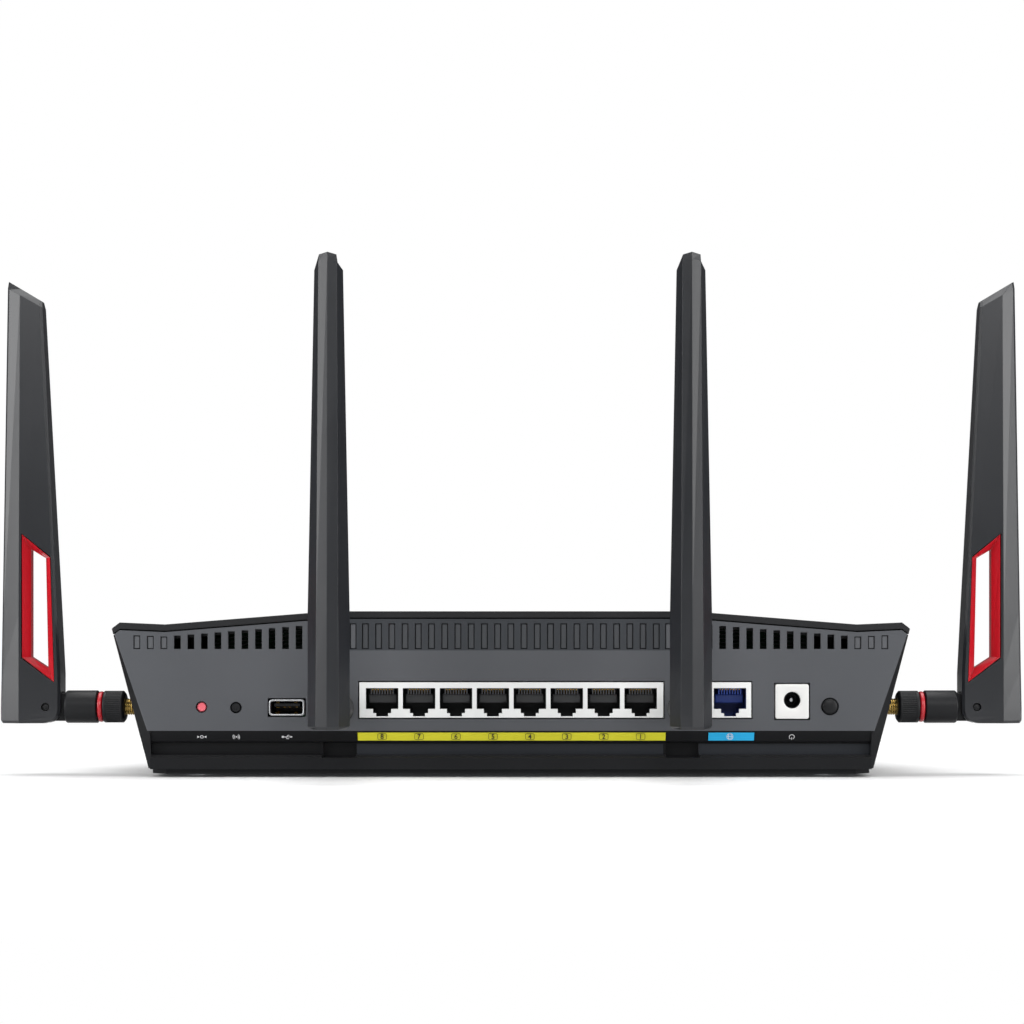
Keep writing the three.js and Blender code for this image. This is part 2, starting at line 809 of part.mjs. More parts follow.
function screwPiece(x, y) {
  const headBottom = body.floor + screw.sink - 0.5;
  const headTop = body.floor + screw.sink + screw.headHeight - FIT;
  const top = Math.min(screw.top, roofAt(x, y) - 5.5);
  const made = turnedZ(
    [
      [headBottom, 0],
      [headBottom, screw.head - 0.4],
      [headBottom + 0.4, screw.head],
      [headTop, screw.head],
      [headTop, screw.radius],
      [top - 1.5, screw.radius],
      [top, 0.4],
      [top, 0],
    ],
    x,
    y,
    16,
  );
  const arm = (a, b) => box(x - a, x + a, y - b, y + b, 0, headBottom + 0.9);
  return cut(made, arm(1.7, 0.4), arm(0.4, 1.7));
}

// ---- One antenna, in its own frame ----
// X runs out of the wall along the connector, Y across the blade, Z up. The origin is where the
// connector's axis meets the outside of the wall.

const lower = (z) => z - antenna.connectorHeight;

const jackPiece = () =>
  turnedX([
    [-antenna.barrelIn - antenna.blockLength, 0],
    [-antenna.barrelIn - antenna.blockLength, antenna.blockRadius],
    [-antenna.barrelIn, antenna.blockRadius],
    [-antenna.barrelIn, antenna.barrel],
    [antenna.nutStart + 3.4, antenna.barrel],
    [antenna.nutStart + 3.4, 0],
  ]);

// The nut's outline alternates between the tops and the bottoms of its ridges.
function nutPiece() {
  const steps = antenna.nutRidges * 2;
  const section = (x, shrink) =>
    Array.from({ length: steps }, (_, i) => {
      const radius = antenna.nutRadius - shrink - (i % 2 ? 0.28 : 0);
      const angle = (i / steps) * Math.PI * 2;
      return [x, radius * Math.cos(angle), radius * Math.sin(angle)];
    });
  const made = loft([
    section(antenna.nutStart, 0.9),
    section(antenna.nutStart + 0.9, 0),
    section(antenna.nutEnd - 0.5, 0),
    section(antenna.nutEnd, 0.4),
  ]);
  return made.subtract(turnedX(rod(antenna.nutStart - 1, antenna.nutEnd + 1, antenna.barrel + FIT)));
}

const ringPiece = () =>
  turnedX([
    [antenna.ringStart, antenna.barrel + FIT],
    [antenna.ringStart, antenna.ringRadius - 0.2],
    [(antenna.ringStart + antenna.ringEnd) / 2, antenna.ringRadius],
    [antenna.ringEnd, antenna.ringRadius - 0.2],
    [antenna.ringEnd, antenna.barrel + FIT],
    [antenna.ringStart, antenna.barrel + FIT],
  ]);

function elbowPiece() {
  const end = antenna.elbowEnd;
  const radius = antenna.elbowRadius;
  const barrel = turnedX([
    [antenna.nutStart + 3.8, 0],
    [antenna.nutStart + 3.8, antenna.barrel],
    [antenna.elbowStart, antenna.barrel],
    [antenna.elbowStart, radius - 0.3],
    [antenna.elbowStart + 0.3, radius],
    [end - 1.8, radius],
    [end - 0.8, radius - 0.6],
    [end - 0.2, radius - 1.8],
    [end, radius - 3.2],
    [end, 0],
  ]);
  const profile = [];
  for (let i = 0; i <= 10; i++) {
    const angle = -Math.PI / 2 + (i / 10) * Math.PI;
    profile.push([
      antenna.pivot + antenna.tongueRadius * Math.cos(angle),
      antenna.tongueRadius * Math.sin(angle),
    ]);
  }
  profile.push([end - 5, antenna.tongueRadius], [end - 5, -antenna.tongueRadius]);
  const tongue = alongY(profile, -antenna.tongueHalf, antenna.tongueHalf);
  const hole = turnedY(rod(-12, 12, antenna.pin + FIT), antenna.pivot, 0, 16);
  return join(barrel, tongue).subtract(hole);
}

const bladeTall = antenna.bladeTop - antenna.bladeBottom;
const bladeShare = (z) => (z - antenna.bladeBottom) / bladeTall;
const between = (bottom, top, share) => bottom + (top - bottom) * share;
const bladeCrease = antenna.outerEdge - antenna.crease;

// A value that stays at its bottom size for a height and then changes evenly up to the top.
function afterRise(bottom, top, rise, share) {
  const start = rise / bladeTall;
  return between(bottom, top, Math.max(0, share - start) / (1 - start));
}

const bladeHalfAt = (share) =>
  afterRise(antenna.bottomHalf, antenna.topHalf, antenna.parallel, share);
const bladeInnerAt = (share) =>
  afterRise(
    antenna.innerEdge,
    antenna.outerEdge - antenna.topOuterInset - antenna.topWidth,
    antenna.upright,
    share,
  );

const pinPiece = () => {
  const half = antenna.bottomHalf * (1 - antenna.faceTaper * 0.6) - 0.6;
  return turnedY(rod(-half, half, antenna.pin), antenna.pivot, 0, 16);
};

// One level of the blade: its section is a shallow ridge on the outer edge, a bevel back to the
// thickest line, a wide flat face that thins toward the inner edge, and a small bevel there.
// Height share 0 is the bottom and 1 the top; narrow takes off thickness, and shrink edge.
function bladeRing(share, up, narrow, shrink, heelIn) {
  const outer = antenna.outerEdge - antenna.topOuterInset * share - shrink;
  const inner = bladeInnerAt(share) + shrink + heelIn;
  const half = bladeHalfAt(share) - narrow;
  const face = half * (1 - antenna.faceTaper);
  const ridge = Math.min(between(antenna.ridgeHalfBottom, antenna.ridgeHalfTop, share), half - 0.15);
  const upper = [
    [outer - antenna.ridgeDepth, ridge],
    [bladeCrease, half],
    [inner + antenna.innerBevel, face],
    [inner, face - antenna.innerBevel],
  ];
  const section = [[outer, 0], ...upper, ...upper.map(([x, y]) => [x, -y]).reverse()];
  return section.map(([x, y]) => {
    const slant = ((outer - x) / (outer - inner)) * antenna.topFall * share;
    return [x, y, lower(antenna.bladeBottom + bladeTall * share - slant + up)];
  });
}

// A straight prism across the blade over the window's corners.
const windowPrism = (cornersOf) =>
  alongY(
    cornersOf.map(([inward, z]) => [antenna.outerEdge - inward, lower(z)]),
    -12,
    12,
  );

function bladePiece() {
  const heelAt = (height) => {
    const rise = antenna.heel - height;
    return antenna.heel - Math.sqrt(Math.max(0, antenna.heel ** 2 - rise ** 2));
  };
  const made = loft([
    bladeRing(0, 0, 1, 0.6, heelAt(0)),
    bladeRing(0, 1, 0, 0, heelAt(1)),
    bladeRing(0, 2.6, 0, 0, heelAt(2.6)),
    bladeRing(0, antenna.heel, 0, 0, 0),
    bladeRing(antenna.upright / bladeTall, 0, 0, 0, 0),
    bladeRing(antenna.parallel / bladeTall, 0, 0, 0, 0),
    bladeRing(1, -antenna.topBevelHeight, 0, 0, 0),
    bladeRing(1, 0, antenna.topBevelWidth, 0.4, 0),
  ]);
  const slotHalf = antenna.tongueHalf + FIT;
  const reach = antenna.tongueRadius + 0.4;
  const slot = box(
    antenna.innerEdge - 2,
    antenna.pivot + reach,
    -slotHalf,
    slotHalf,
    lower(antenna.bladeBottom) - 2,
    reach,
  );
  const hole = turnedY(rod(-12, 12, antenna.pin + FIT), antenna.pivot, 0, 16);
  return cut(made, slot, hole, windowPrism(bladeWindow.outer));
}

// Half of the blade's thickness on its wide face, at a distance x from the wall and a height z.
function faceHalfAt(x, z) {
  const inner = bladeInnerAt(bladeShare(z)) + antenna.innerBevel;
  const inward = Math.min(1, Math.max(0, (bladeCrease - x) / (bladeCrease - inner)));
  return bladeHalfAt(bladeShare(z)) * (1 - antenna.faceTaper * inward);
}

// The window's trim: a four-sided frame whose faces fall in toward a narrow lip at mid depth.
function trimPiece() {
  const middleOf = (points) => {
    const sum = points.reduce(([a, b], [u, z]) => [a + u, b + z], [0, 0]);
    return [sum[0] / points.length, sum[1] / points.length];
  };
  const centre = middleOf(bladeWindow.outer);
  const shrunk = bladeWindow.outer.map(([u, z]) => {
    const away = [u - centre[0], z - centre[1]];
    return [u - Math.sign(away[0]) * FIT, z - Math.sign(away[1]) * FIT * 1.6];
  });
  const position = [];
  shrunk.forEach(([u, z], i) => {
    const [innerU, innerZ] = bladeWindow.inner[i];
    const out = antenna.outerEdge - u;
    const half = faceHalfAt(out, z) - bladeWindow.sink;
    const inn = antenna.outerEdge - innerU;
    position.push(out, half, lower(z), inn, bladeWindow.lipHalf, lower(innerZ));
    position.push(inn, -bladeWindow.lipHalf, lower(innerZ), out, -half, lower(z));
  });
  const index = [];
  for (let i = 0; i < 4; i++)
    for (let k = 0; k < 4; k++) {
      const a = i * 4 + k;
      const b = i * 4 + ((k + 1) % 4);
      const c = ((i + 1) % 4) * 4 + ((k + 1) % 4);
      const d = ((i + 1) % 4) * 4 + k;
      index.push(a, b, c, a, c, d);
    }
  const geometry = new THREE.BufferGeometry();
  geometry.setAttribute("position", new THREE.Float32BufferAttribute(position, 3));
  geometry.setIndex(index);
  return solid(geometry);
}

// ---- Materials ----

const finish = (color, roughness, metalness = 0) => ({ color, roughness, metalness });
const finishes = {
  cover: finish(0x1d1f21, 0.5),
  panel: finish(0x4e5154, 0.55),
  rubber: finish(0x141414, 0.9),
  steel: finish(0x9a9c9e, 0.35, 1),
  board: finish(0x1c4a2c, 0.6),
  aluminium: finish(0xb0b3b6, 0.4, 1),
  frame: finish(0xe9ebe9, 0.4),
  darkPlastic: finish(0x191a1b, 0.5),
  bluePlastic: finish(0x192d60, 0.45),
  whitePlastic: finish(0xf2f2f0, 0.45),
  gold: finish(0xb6a56f, 0.3, 1),
  yellow: finish(0xe5e236, 0.5),
  cyan: finish(0x29c9fd, 0.5),
  smoke: finish(0x101214, 0.15),
  red: finish(0xca2430, 0.35),
  resetRed: finish(0xf9798a, 0.5),
  blade: finish(0x2e3135, 0.5),
};

function piece(name, made, look) {
  const mesh = new THREE.Mesh(geometryOf(made), new THREE.MeshStandardMaterial(finishes[look]));
  mesh.name = name;
  return mesh;
}

// ---- Assembly ----

const router = new THREE.Group();

const labelFace = -label.sink + FIT;
const stripLabel = ({ from, to }) => onLabelStrip(from, to, labelFace + label.thickness, labelFace);
const stripeBottom = stripe.sink - FIT;
const accentStripe = onRoof(stripeOutline(0), stripeBottom - stripe.thickness, stripeBottom);
const windowPane = onRoof(windowOutline(0), lightWindow.below, lightWindow.sink - FIT);

router.add(
  piece("bottom_case", bottomCase(), "panel"),
  piece("top_cover", topCover(), "cover"),
  piece("accent_stripe", accentStripe, "red"),
  piece("light_window", windowPane, "smoke"),
  piece("main_board", mainBoard(), "board"),
  piece("heatsink", heatsinkPiece(), "aluminium"),
  piece("shield_can", shieldCanPiece(), "steel"),
  piece("lan_shield", socketShield(lan), "frame"),
  piece("lan_housing", socketHousing(lan), "darkPlastic"),
  piece("wan_shield", socketShield(wan), "frame"),
  piece("wan_housing", socketHousing(wan), "bluePlastic"),
  piece("power_jack", powerJack(), "whitePlastic"),
  piece("power_jack_pin", powerPin(), "gold"),
  piece("lan_label", stripLabel(lanLabel), "yellow"),
  piece("wan_label", stripLabel(wanLabel), "cyan"),
);

router.add(
  piece("usb_rear_shell", usbShell(usb.centre, usb.middle, -usb.proud, usb.depth), "steel"),
  piece(
    "usb_rear_tongue",
    usbTongue(usb.centre, usb.middle, 1.2, usb.depth - usb.shell - FIT),
    "darkPlastic",
  ),
);
const frontFace = frontAt(frontUsb.middle);
router.add(
  piece(
    "usb_front_shell",
    usbShell(frontUsb.centre, frontUsb.middle, frontFace - 0.2, frontFace - usb.depth),
    "steel",
  ),
);

for (const key of keys) router.add(piece(key.name, rearKey(key), key.look));
for (const key of frontKeys) router.add(piece(key.name, frontKeyPiece(key), "darkPlastic"));
for (const [where, x, y] of feetAt) router.add(piece(`foot_${where}`, footPiece(x, y), "rubber"));
for (const [where, x, y] of screwsAt) router.add(piece(`screw_${where}`, screwPiece(x, y), "steel"));

const wallAt = halfWidthAt(antenna.connectorHeight);
const antennaPlaces = [
  { name: "left", x: -wallAt, y: antenna.sideSetBack, turn: Math.PI },
  { name: "right", x: wallAt, y: antenna.sideSetBack, turn: 0 },
  { name: "rear_left", x: -antenna.rearCentre, y: 0, turn: -Math.PI / 2 },
  { name: "rear_right", x: antenna.rearCentre, y: 0, turn: -Math.PI / 2 },
];
for (const place of antennaPlaces) {
  const group = new THREE.Group();
  group.position.set(place.x, place.y, antenna.connectorHeight);
  group.rotation.z = place.turn;
  group.add(
    piece(`${place.name}_jack`, jackPiece(), "gold"),
    piece(`${place.name}_nut`, nutPiece(), "darkPlastic"),
    piece(`${place.name}_ring`, ringPiece(), "red"),
    piece(`${place.name}_elbow`, elbowPiece(), "darkPlastic"),
    piece(`${place.name}_hinge_pin`, pinPiece(), "darkPlastic"),
    piece(`${place.name}_blade`, bladePiece(), "blade"),
    piece(`${place.name}_window_trim`, trimPiece(), "red"),
  );
  router.add(group);
}

// The origin is under the middle of the whole part, at table level.
const whole = new THREE.Box3().setFromObject(router);
router.position.set(-(whole.min.x + whole.max.x) / 2, -(whole.min.y + whole.max.y) / 2, -whole.min.z);

export default router;
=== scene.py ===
# %% [markdown]
# A wireless router, seen from its socket side. The moving, fastening and fitting pieces come
# packed as a fixed frame, in metres, standing on z = 0 with the sockets toward -Y. This lesson
# gives every visible piece its fine surface and its finish. Nothing in the frame moves: where
# a piece needs a finer shape, a new piece takes its place on the same body.

# %% Load the frame
import json
import math

import bmesh
import bpy
import numpy as np
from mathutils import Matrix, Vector
from mathutils.bvhtree import BVHTree


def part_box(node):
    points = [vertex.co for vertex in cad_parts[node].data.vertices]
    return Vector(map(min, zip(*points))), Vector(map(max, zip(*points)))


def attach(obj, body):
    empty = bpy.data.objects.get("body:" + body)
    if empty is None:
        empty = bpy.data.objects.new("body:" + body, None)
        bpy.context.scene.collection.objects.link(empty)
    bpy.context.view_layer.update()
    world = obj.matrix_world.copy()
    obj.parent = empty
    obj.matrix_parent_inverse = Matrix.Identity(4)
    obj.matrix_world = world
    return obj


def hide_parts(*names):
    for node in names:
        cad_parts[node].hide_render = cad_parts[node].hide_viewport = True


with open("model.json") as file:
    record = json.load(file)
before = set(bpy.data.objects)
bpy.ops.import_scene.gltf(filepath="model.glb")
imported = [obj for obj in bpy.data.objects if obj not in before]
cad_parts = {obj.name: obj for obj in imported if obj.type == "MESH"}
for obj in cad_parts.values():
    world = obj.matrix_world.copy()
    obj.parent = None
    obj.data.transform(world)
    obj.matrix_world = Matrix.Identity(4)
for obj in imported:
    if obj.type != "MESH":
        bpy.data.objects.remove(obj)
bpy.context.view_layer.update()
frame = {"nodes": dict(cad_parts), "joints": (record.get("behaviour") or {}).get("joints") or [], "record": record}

MM = 0.001
record = frame["record"]
joints = {joint["name"]: joint for joint in frame["joints"]}
slot_of = {row["node"]: row["material_slot"] for row in record["subparts"]}
body_of = {node: body for body, nodes in record["behaviour"]["bodies"].items() for node in nodes}
openings = {row["name"]: np.array(row["box_m"]) for row in record["physics"]["openings"]}

# %% [markdown]
# The same antenna stands in four places, so its axes are read from the joints: the tilt joint
# sits on the hinge pin, and the direction from the nut's joint to it is the way out of the wall.
# Every size of a turned piece is then a distance along that direction, counted from the pin.

# %% Where things are
ANTENNAS = ("left", "right", "rear_left", "rear_right")
ACROSS, INWARD, UP = (1, 0, 0), (0, 1, 0), (0, 0, 1)
REAR_FACE = (ACROSS, UP, INWARD)    # the directions of a shape set into the socket panel
panel_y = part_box("lan_label")[0].y
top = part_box("top_cover")[1]


def corners_of(node):
    """The low and the high corner of a node's box, in millimetres."""
    return [np.array(corner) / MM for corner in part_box(node)]


def antenna_axes(name):
    """Hinge pin, outward direction and sideways direction of one antenna."""
    pin = np.array(joints[f"{name}_tilt"]["pos_m"])
    nut = np.array(joints[f"{name}_nut_spin"]["pos_m"])
    out = (pin - nut) / np.linalg.norm(pin - nut)
    return pin, out, np.cross(UP, out)


def span(node, pin, out):
    """How far a node reaches along `out` from the pin, in millimetres: nearest and farthest."""
    low, high = (np.array(corner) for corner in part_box(node))
    return sorted((float((low - pin) @ out) / MM, float((high - pin) @ out) / MM))


def radius_of(node):
    """Half of a node's height in millimetres: the radius of a piece turned about a level axis."""
    low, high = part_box(node)
    return (high.z - low.z) / 2 / MM


for name in ANTENNAS:
    pin, out, side = antenna_axes(name)
    print(name, "nut from", np.round(span(f"{name}_nut", pin, out), 2), "mm behind the pin")

# %% [markdown]
# Every new piece starts as numbers: a grid of points worked out from two parameters. One helper
# turns such grids into a mesh, closing them round on themselves where asked, and welds the
# points that fall together at a pole or a seam, so that no piece is open.


# %% A grid of points becomes a mesh
def grid_faces(rows, columns, close_rows, close_columns):
    """Quads of a grid as an array: each cell joins a point to its next neighbours both ways."""
    r = np.arange(rows if close_rows else rows - 1)
    c = np.arange(columns if close_columns else columns - 1)
    r, c = (a.ravel() for a in np.meshgrid(r, c, indexing="ij"))
    r2, c2 = (r + 1) % rows, (c + 1) % columns
    return np.stack([r * columns + c, r2 * columns + c, r2 * columns + c2, r * columns + c2], 1)


def tidy(mesh):
    """Welds the mesh, drops faces of no size and turns the rest outwards."""
    shape = bmesh.new()
    shape.from_mesh(mesh)
    bmesh.ops.remove_doubles(shape, verts=shape.verts, dist=1e-6)
    bmesh.ops.dissolve_degenerate(shape, dist=1e-7, edges=shape.edges)
    bmesh.ops.recalc_face_normals(shape, faces=shape.faces)
    shape.to_mesh(mesh)
    shape.free()


def surface_mesh(name, grids, close_rows=False, close_columns=True):
    """One welded mesh over several grids of points, each of shape (rows, columns, 3)."""
    points, faces, start = [], [], 0
    for grid in grids:
        rows, columns = grid.shape[:2]
        points.append(grid.reshape(-1, 3))
        faces.append(grid_faces(rows, columns, close_rows, close_columns) + start)
        start += rows * columns
    mesh = bpy.data.meshes.new(name)
    mesh.from_pydata(np.concatenate(points), [], np.concatenate(faces).tolist())
    tidy(mesh)
    return mesh


def add_piece(name, mesh, finish, body, stands_for=(), crease=35):
    """Puts a mesh in the scene at the origin and gives it a finish, a body and a slot. Edges that
    turn more than `crease` degrees stay sharp."""
    piece = bpy.data.objects.new(name, mesh)
    bpy.context.scene.collection.objects.link(piece)
    mesh.materials.clear()
    mesh.materials.append(finish)
    mesh.polygons.foreach_set("use_smooth", np.full(len(mesh.polygons), True))
    mesh.set_sharp_from_angle(angle=math.radians(crease))
    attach(piece, body)
    for node in stands_for:
        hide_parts(node)
    return piece


def build(name, grids, look, body="root", stands_for=(), crease=35, close_rows=False):
    """Makes one piece of some grids, with the finish that `look` names."""
    mesh = surface_mesh(name, grids, close_rows)
    return add_piece(name, mesh, finishes[look], body, stands_for, crease)


print("a grid of 3 x 4 points has", len(grid_faces(3, 4, False, True)), "cells round its columns")

# %% [markdown]
# Three ways of carrying a profile cover nearly every small piece here: turned round an axis,
# swept along a path as a flat stroke, and stacked as shrinking outlines that make a prism with
# softened ends. Each is worked out as whole arrays.


# %% Turned, swept and stacked forms
def across_of(along):
    """Two directions square to `along` and to each other."""
    along = np.array(along, float)
    first = np.cross(along, [0, 0, 1] if abs(along[2]) < 0.9 else [0, 1, 0])
    first /= np.linalg.norm(first)
    return first, np.cross(along, first)


def turned(profile, start, along, sides=64, ridges=0, depth=0.0):
    """A turned form: each profile row is (distance along the axis, radius) in millimetres, swept
    round the axis. A third number in the row is the share of the ridges there, which take
    depth * share * (1 - cos(ridges * angle)) / 2 off the radius."""
    rows = np.array([(*row, 0)[:3] for row in profile], float)
    angle = np.linspace(0, 2 * np.pi, sides, endpoint=False)
    first, second = across_of(along)
    ring = np.cos(angle)[:, None] * first + np.sin(angle)[:, None] * second
    groove = depth * (1 - np.cos(ridges * angle)) / 2
    radius = rows[:, 1:2] - rows[:, 2:3] * groove
    middle = np.array(start) + rows[:, :1] * MM * np.array(along, float)
    return middle[:, None, :] + radius[:, :, None] * MM * ring


def stroke(path, wide, thick, up):
    """A stroke of even width: at each point of the path, the four corners of a small rectangle,
    `wide` to the sides of the path and `thick` along the fixed direction `up`. The ends close
    onto the path. All in metres."""
    path = np.array(path, float)
    ahead = np.gradient(path, axis=0)
    ahead /= np.linalg.norm(ahead, axis=1, keepdims=True)
    side = np.cross(ahead, up)
    corners = np.array([(-1, -1), (1, -1), (1, 1), (-1, 1)]) / 2
    ring = path[:, None] + corners[:, :1] * wide * side[:, None] + corners[:, 1:] * thick * np.array(up)
    ends = [np.repeat(path[i][None, None], 4, axis=1) for i in (0, -1)]
    return np.concatenate([ends[0], ring, ends[1]])


def stacked(outline, levels, centre, first, second, third):
    """A prism with softened ends: the outline, an array of (a, b), is set on the directions
    `first` and `second`, moved in by each level's inset toward its middle, and lifted along
    `third`. Levels are (height, inset) and the ends close onto the middle. All in millimetres."""
    outline = np.array(outline, float)
    middle = (outline.max(0) + outline.min(0)) / 2
    arm = outline - middle
    reach = np.abs(arm).max(0)
    rows = [middle + arm * (1 - inset / reach) for _, inset in levels]
    rows = [rows[0] * 0 + middle, *rows, rows[-1] * 0 + middle]
    heights = [levels[0][0], *(height for height, _ in levels), levels[-1][0]]
    flat = np.array(rows)
    lift = np.array(heights)[:, None, None] * np.array(third, float)
    spread = flat[..., :1] * np.array(first) + flat[..., 1:] * np.array(second)
    return np.array(centre) + MM * (spread + lift)


def rounded_outline(width, height, radius, steps=5):
    """Points round a rectangle with round corners: quarter circles about the four corner centres."""
    turn = np.linspace(0, np.pi / 2, steps)
    quarters = []
    for i, (a, b) in enumerate([(1, 1), (-1, 1), (-1, -1), (1, -1)]):
        centre = np.array([a * (width / 2 - radius), b * (height / 2 - radius)])
        angle = turn + i * np.pi / 2
        quarters.append(centre + radius * np.stack([np.cos(angle), np.sin(angle)], 1))
    return np.concatenate(quarters)


print("a rounded outline has", len(rounded_outline(4, 3, 0.5)), "points")

# %% [markdown]
# The camera comes early, so that each piece can be judged as it is added. It stands level with
# the sockets and close to the table. Shifting the lens, not tilting the camera, brings the tall
# antennas into view, so upright edges stay upright.


# %% Camera
EYE = (0.0072, panel_y - 0.88, 0.0516)
FOCAL_LENGTH, SENSOR_WIDTH = 82.3, 36        # millimetres
LENS_SHIFT = (-18 / 1024, 128 / 1024)        # as shares of the view's width

lens = bpy.data.cameras.new("camera")
lens.lens = FOCAL_LENGTH
lens.sensor_width = SENSOR_WIDTH
lens.shift_x, lens.shift_y = LENS_SHIFT
lens.clip_start = 0.01
camera = bpy.data.objects.new("camera", lens)
bpy.context.scene.collection.objects.link(camera)
camera.location = EYE
camera.rotation_euler = (math.radians(90), 0, 0)
bpy.context.scene.camera = camera
bpy.context.scene.view_settings.view_transform = "Standard"
print("camera stands", round(-camera.location.y, 3), "m from the middle")

# %% [markdown]
# Two soft lights to the sides draw the long bright lines on the antennas' bevels. A wide one
# overhead gives the roof and the shelf their sheen, and a weaker one behind the camera lifts
# the socket panel.


# %% Lights
def add_light(name, place, target, size, power):
    """A rectangular soft light at a place, turned to face its target."""
    lamp = bpy.data.lights.new(name, "AREA")
    lamp.shape = "RECTANGLE"
    lamp.size, lamp.size_y = size
    lamp.energy = power
    holder = bpy.data.objects.new(name, lamp)
    bpy.context.scene.collection.objects.link(holder)
    holder.location = place
    direction = Vector(target) - Vector(place)
    holder.rotation_euler = direction.to_track_quat("-Z", "Y").to_euler()
    return holder


# Where each light stands, what it faces, its width and height in metres, and its watts.
LIGHTS = {
    "left_softbox": ((-0.85, -0.54, 0.25), (-0.15, 0, 0.1), (0.55, 0.7), 5.6),
    "right_softbox": ((0.85, -0.54, 0.25), (0.15, 0, 0.1), (0.55, 0.7), 5),
    "top_softbox": ((0, 0.1, 1.1), (0, 0, 0.05), (1.8, 0.9), 15),
    "camera_fill": ((0.1, -1.3, 0.75), (0, 0, 0.05), (1.0, 0.6), 6),
}
for name, setting in LIGHTS.items():
    add_light(name, *setting)

# %% [markdown]
# A look is a tree of small nodes. The helpers below write such a tree with one line a node: a
# node with its settings and inputs, a mix of two colours, a step of arithmetic, and an empty
# group whose sockets have names.


# %% Small helpers for node trees
def add_node(tree, kind, settings=None, **inputs):
    """A node whose inputs are named, with _ for spaces, or numbered, as in i0. A value is set on
    the input, and a socket is linked to it."""
    made = tree.nodes.new(kind)
    for name, value in (settings or {}).items():
        setattr(made, name, value)
    for name, value in inputs.items():
        numbered = name[0] == "i" and name[1:].isdigit()
        socket = made.inputs[int(name[1:]) if numbered else name.replace("_", " ")]
        if isinstance(value, bpy.types.NodeSocket):
            tree.links.new(value, socket)
        else:
            socket.default_value = value
    return made


def mix_tones(tree, share, first, second):
    """The first colour where share is 0 and the second where it is 1."""
    mixer = add_node(tree, "ShaderNodeMix", {"data_type": "RGBA"}, i0=share, i6=first, i7=second)
    return mixer.outputs[2]


def calculate(tree, operation, first, second, third=0.0):
    """One step of arithmetic on numbers or sockets. MULTIPLY_ADD adds the third, and COMPARE
    takes it as the largest difference that still counts as equal."""
    step = add_node(tree, "ShaderNodeMath", {"operation": operation}, i0=first, i1=second, i2=third)
    return step.outputs[0]


def new_group(name, inputs, outputs):
    """An empty node group with named sockets. Each is given as (name, kind, start value)."""
    group = bpy.data.node_groups.new(name, "ShaderNodeTree")
    for way, sockets in (("INPUT", inputs), ("OUTPUT", outputs)):
        for label, kind, *value in sockets:
            socket = group.interface.new_socket(label, in_out=way, socket_type="NodeSocket" + kind)
            if value:
                socket.default_value = value[0]
    return group, group.nodes.new("NodeGroupInput").outputs, group.nodes.new("NodeGroupOutput").inputs


def tone(red, green, blue):
    """A colour given in everyday 0 to 255 steps, as the linear light that shaders work in."""
    share = np.array([red, green, blue]) / 255
    linear = np.where(share <= 0.04045, share / 12.92, ((share + 0.055) / 1.055) ** 2.4)
    return (*linear.tolist(), 1.0)


print("middle grey is", round(tone(128, 128, 128)[0], 3))

# %% [markdown]
# The surroundings look pure white to the camera but light the router only weakly, and mostly
# from above, because a dark plastic in a fully white room turns grey all over. A Light Path
# node tells the two apart. The floor is a pale sheet, as large as the lights cover evenly, and
# the same trick keeps the light it throws up onto the router low. It fades into the white
# surroundings with distance, so no edge shows. From below it is clear, and it lets light up to
# what lies just over it, so that the underside can be looked at.

# %% Surroundings and floor
FLOOR_SIDE = (1.1, 0.9)    # half of the sheet's width and depth
FADE_OUT = (0.32, 0.55)    # how far from the middle the sheet starts to fade, and is gone
JUST_OVER = 0.012          # light to anything nearer than this passes through the sheet
FELT_PAPER, SEEN_PAPER = (0.6, 0.6, 0.6, 1), (0.92, 0.92, 0.92, 1)

world = bpy.data.worlds.new("studio")
bpy.context.scene.world = world
world.use_nodes = True
tree = world.node_tree
tree.nodes.clear()
direction = add_node(tree, "ShaderNodeTexCoord").outputs["Generated"]
rise = add_node(tree, "ShaderNodeSeparateXYZ", Vector=direction).outputs["Z"]
overhead = add_node(
    tree, "ShaderNodeMapRange", Value=rise, From_Min=0.3, From_Max=0.9, To_Min=0.1, To_Max=0.45
)
underneath = add_node(
    tree, "ShaderNodeMapRange", Value=rise, From_Min=-0.1, From_Max=-0.6, To_Max=1.2
)
strength = calculate(tree, "ADD", overhead.outputs[0], underneath.outputs[0])
felt = add_node(tree, "ShaderNodeBackground", Color=(0.98, 0.99, 1, 1), Strength=strength)
seen = add_node(tree, "ShaderNodeBackground", Color=(1, 1, 1, 1))
ray = add_node(tree, "ShaderNodeLightPath").outputs
choice = add_node(
    tree, "ShaderNodeMixShader", Fac=ray["Is Camera Ray"], i1=felt.outputs[0], i2=seen.outputs[0]
)
add_node(tree, "ShaderNodeOutputWorld", Surface=choice.outputs[0])

floor_mesh = bpy.data.meshes.new("floor")
signs = [(-1, -1), (1, -1), (1, 1), (-1, 1)]
corners = [(a * FLOOR_SIDE[0], b * FLOOR_SIDE[1], 0) for a, b in signs]
floor_mesh.from_pydata(corners, [], [(0, 1, 2, 3)])
floor = bpy.data.objects.new("floor", floor_mesh)
bpy.context.scene.collection.objects.link(floor)
floor_paint = bpy.data.materials.new("floor_paint")
floor_paint.use_nodes = True
tree = floor_paint.node_tree
shader = tree.nodes["Principled BSDF"]
shader.inputs["Roughness"].default_value = 0.9
ray = add_node(tree, "ShaderNodeLightPath").outputs
paper = mix_tones(tree, ray["Is Camera Ray"], FELT_PAPER, SEEN_PAPER)
tree.links.new(paper, shader.inputs["Base Color"])
place = add_node(tree, "ShaderNodeTexCoord").outputs["Object"]
distance = add_node(tree, "ShaderNodeVectorMath", {"operation": "LENGTH"}, i0=place)
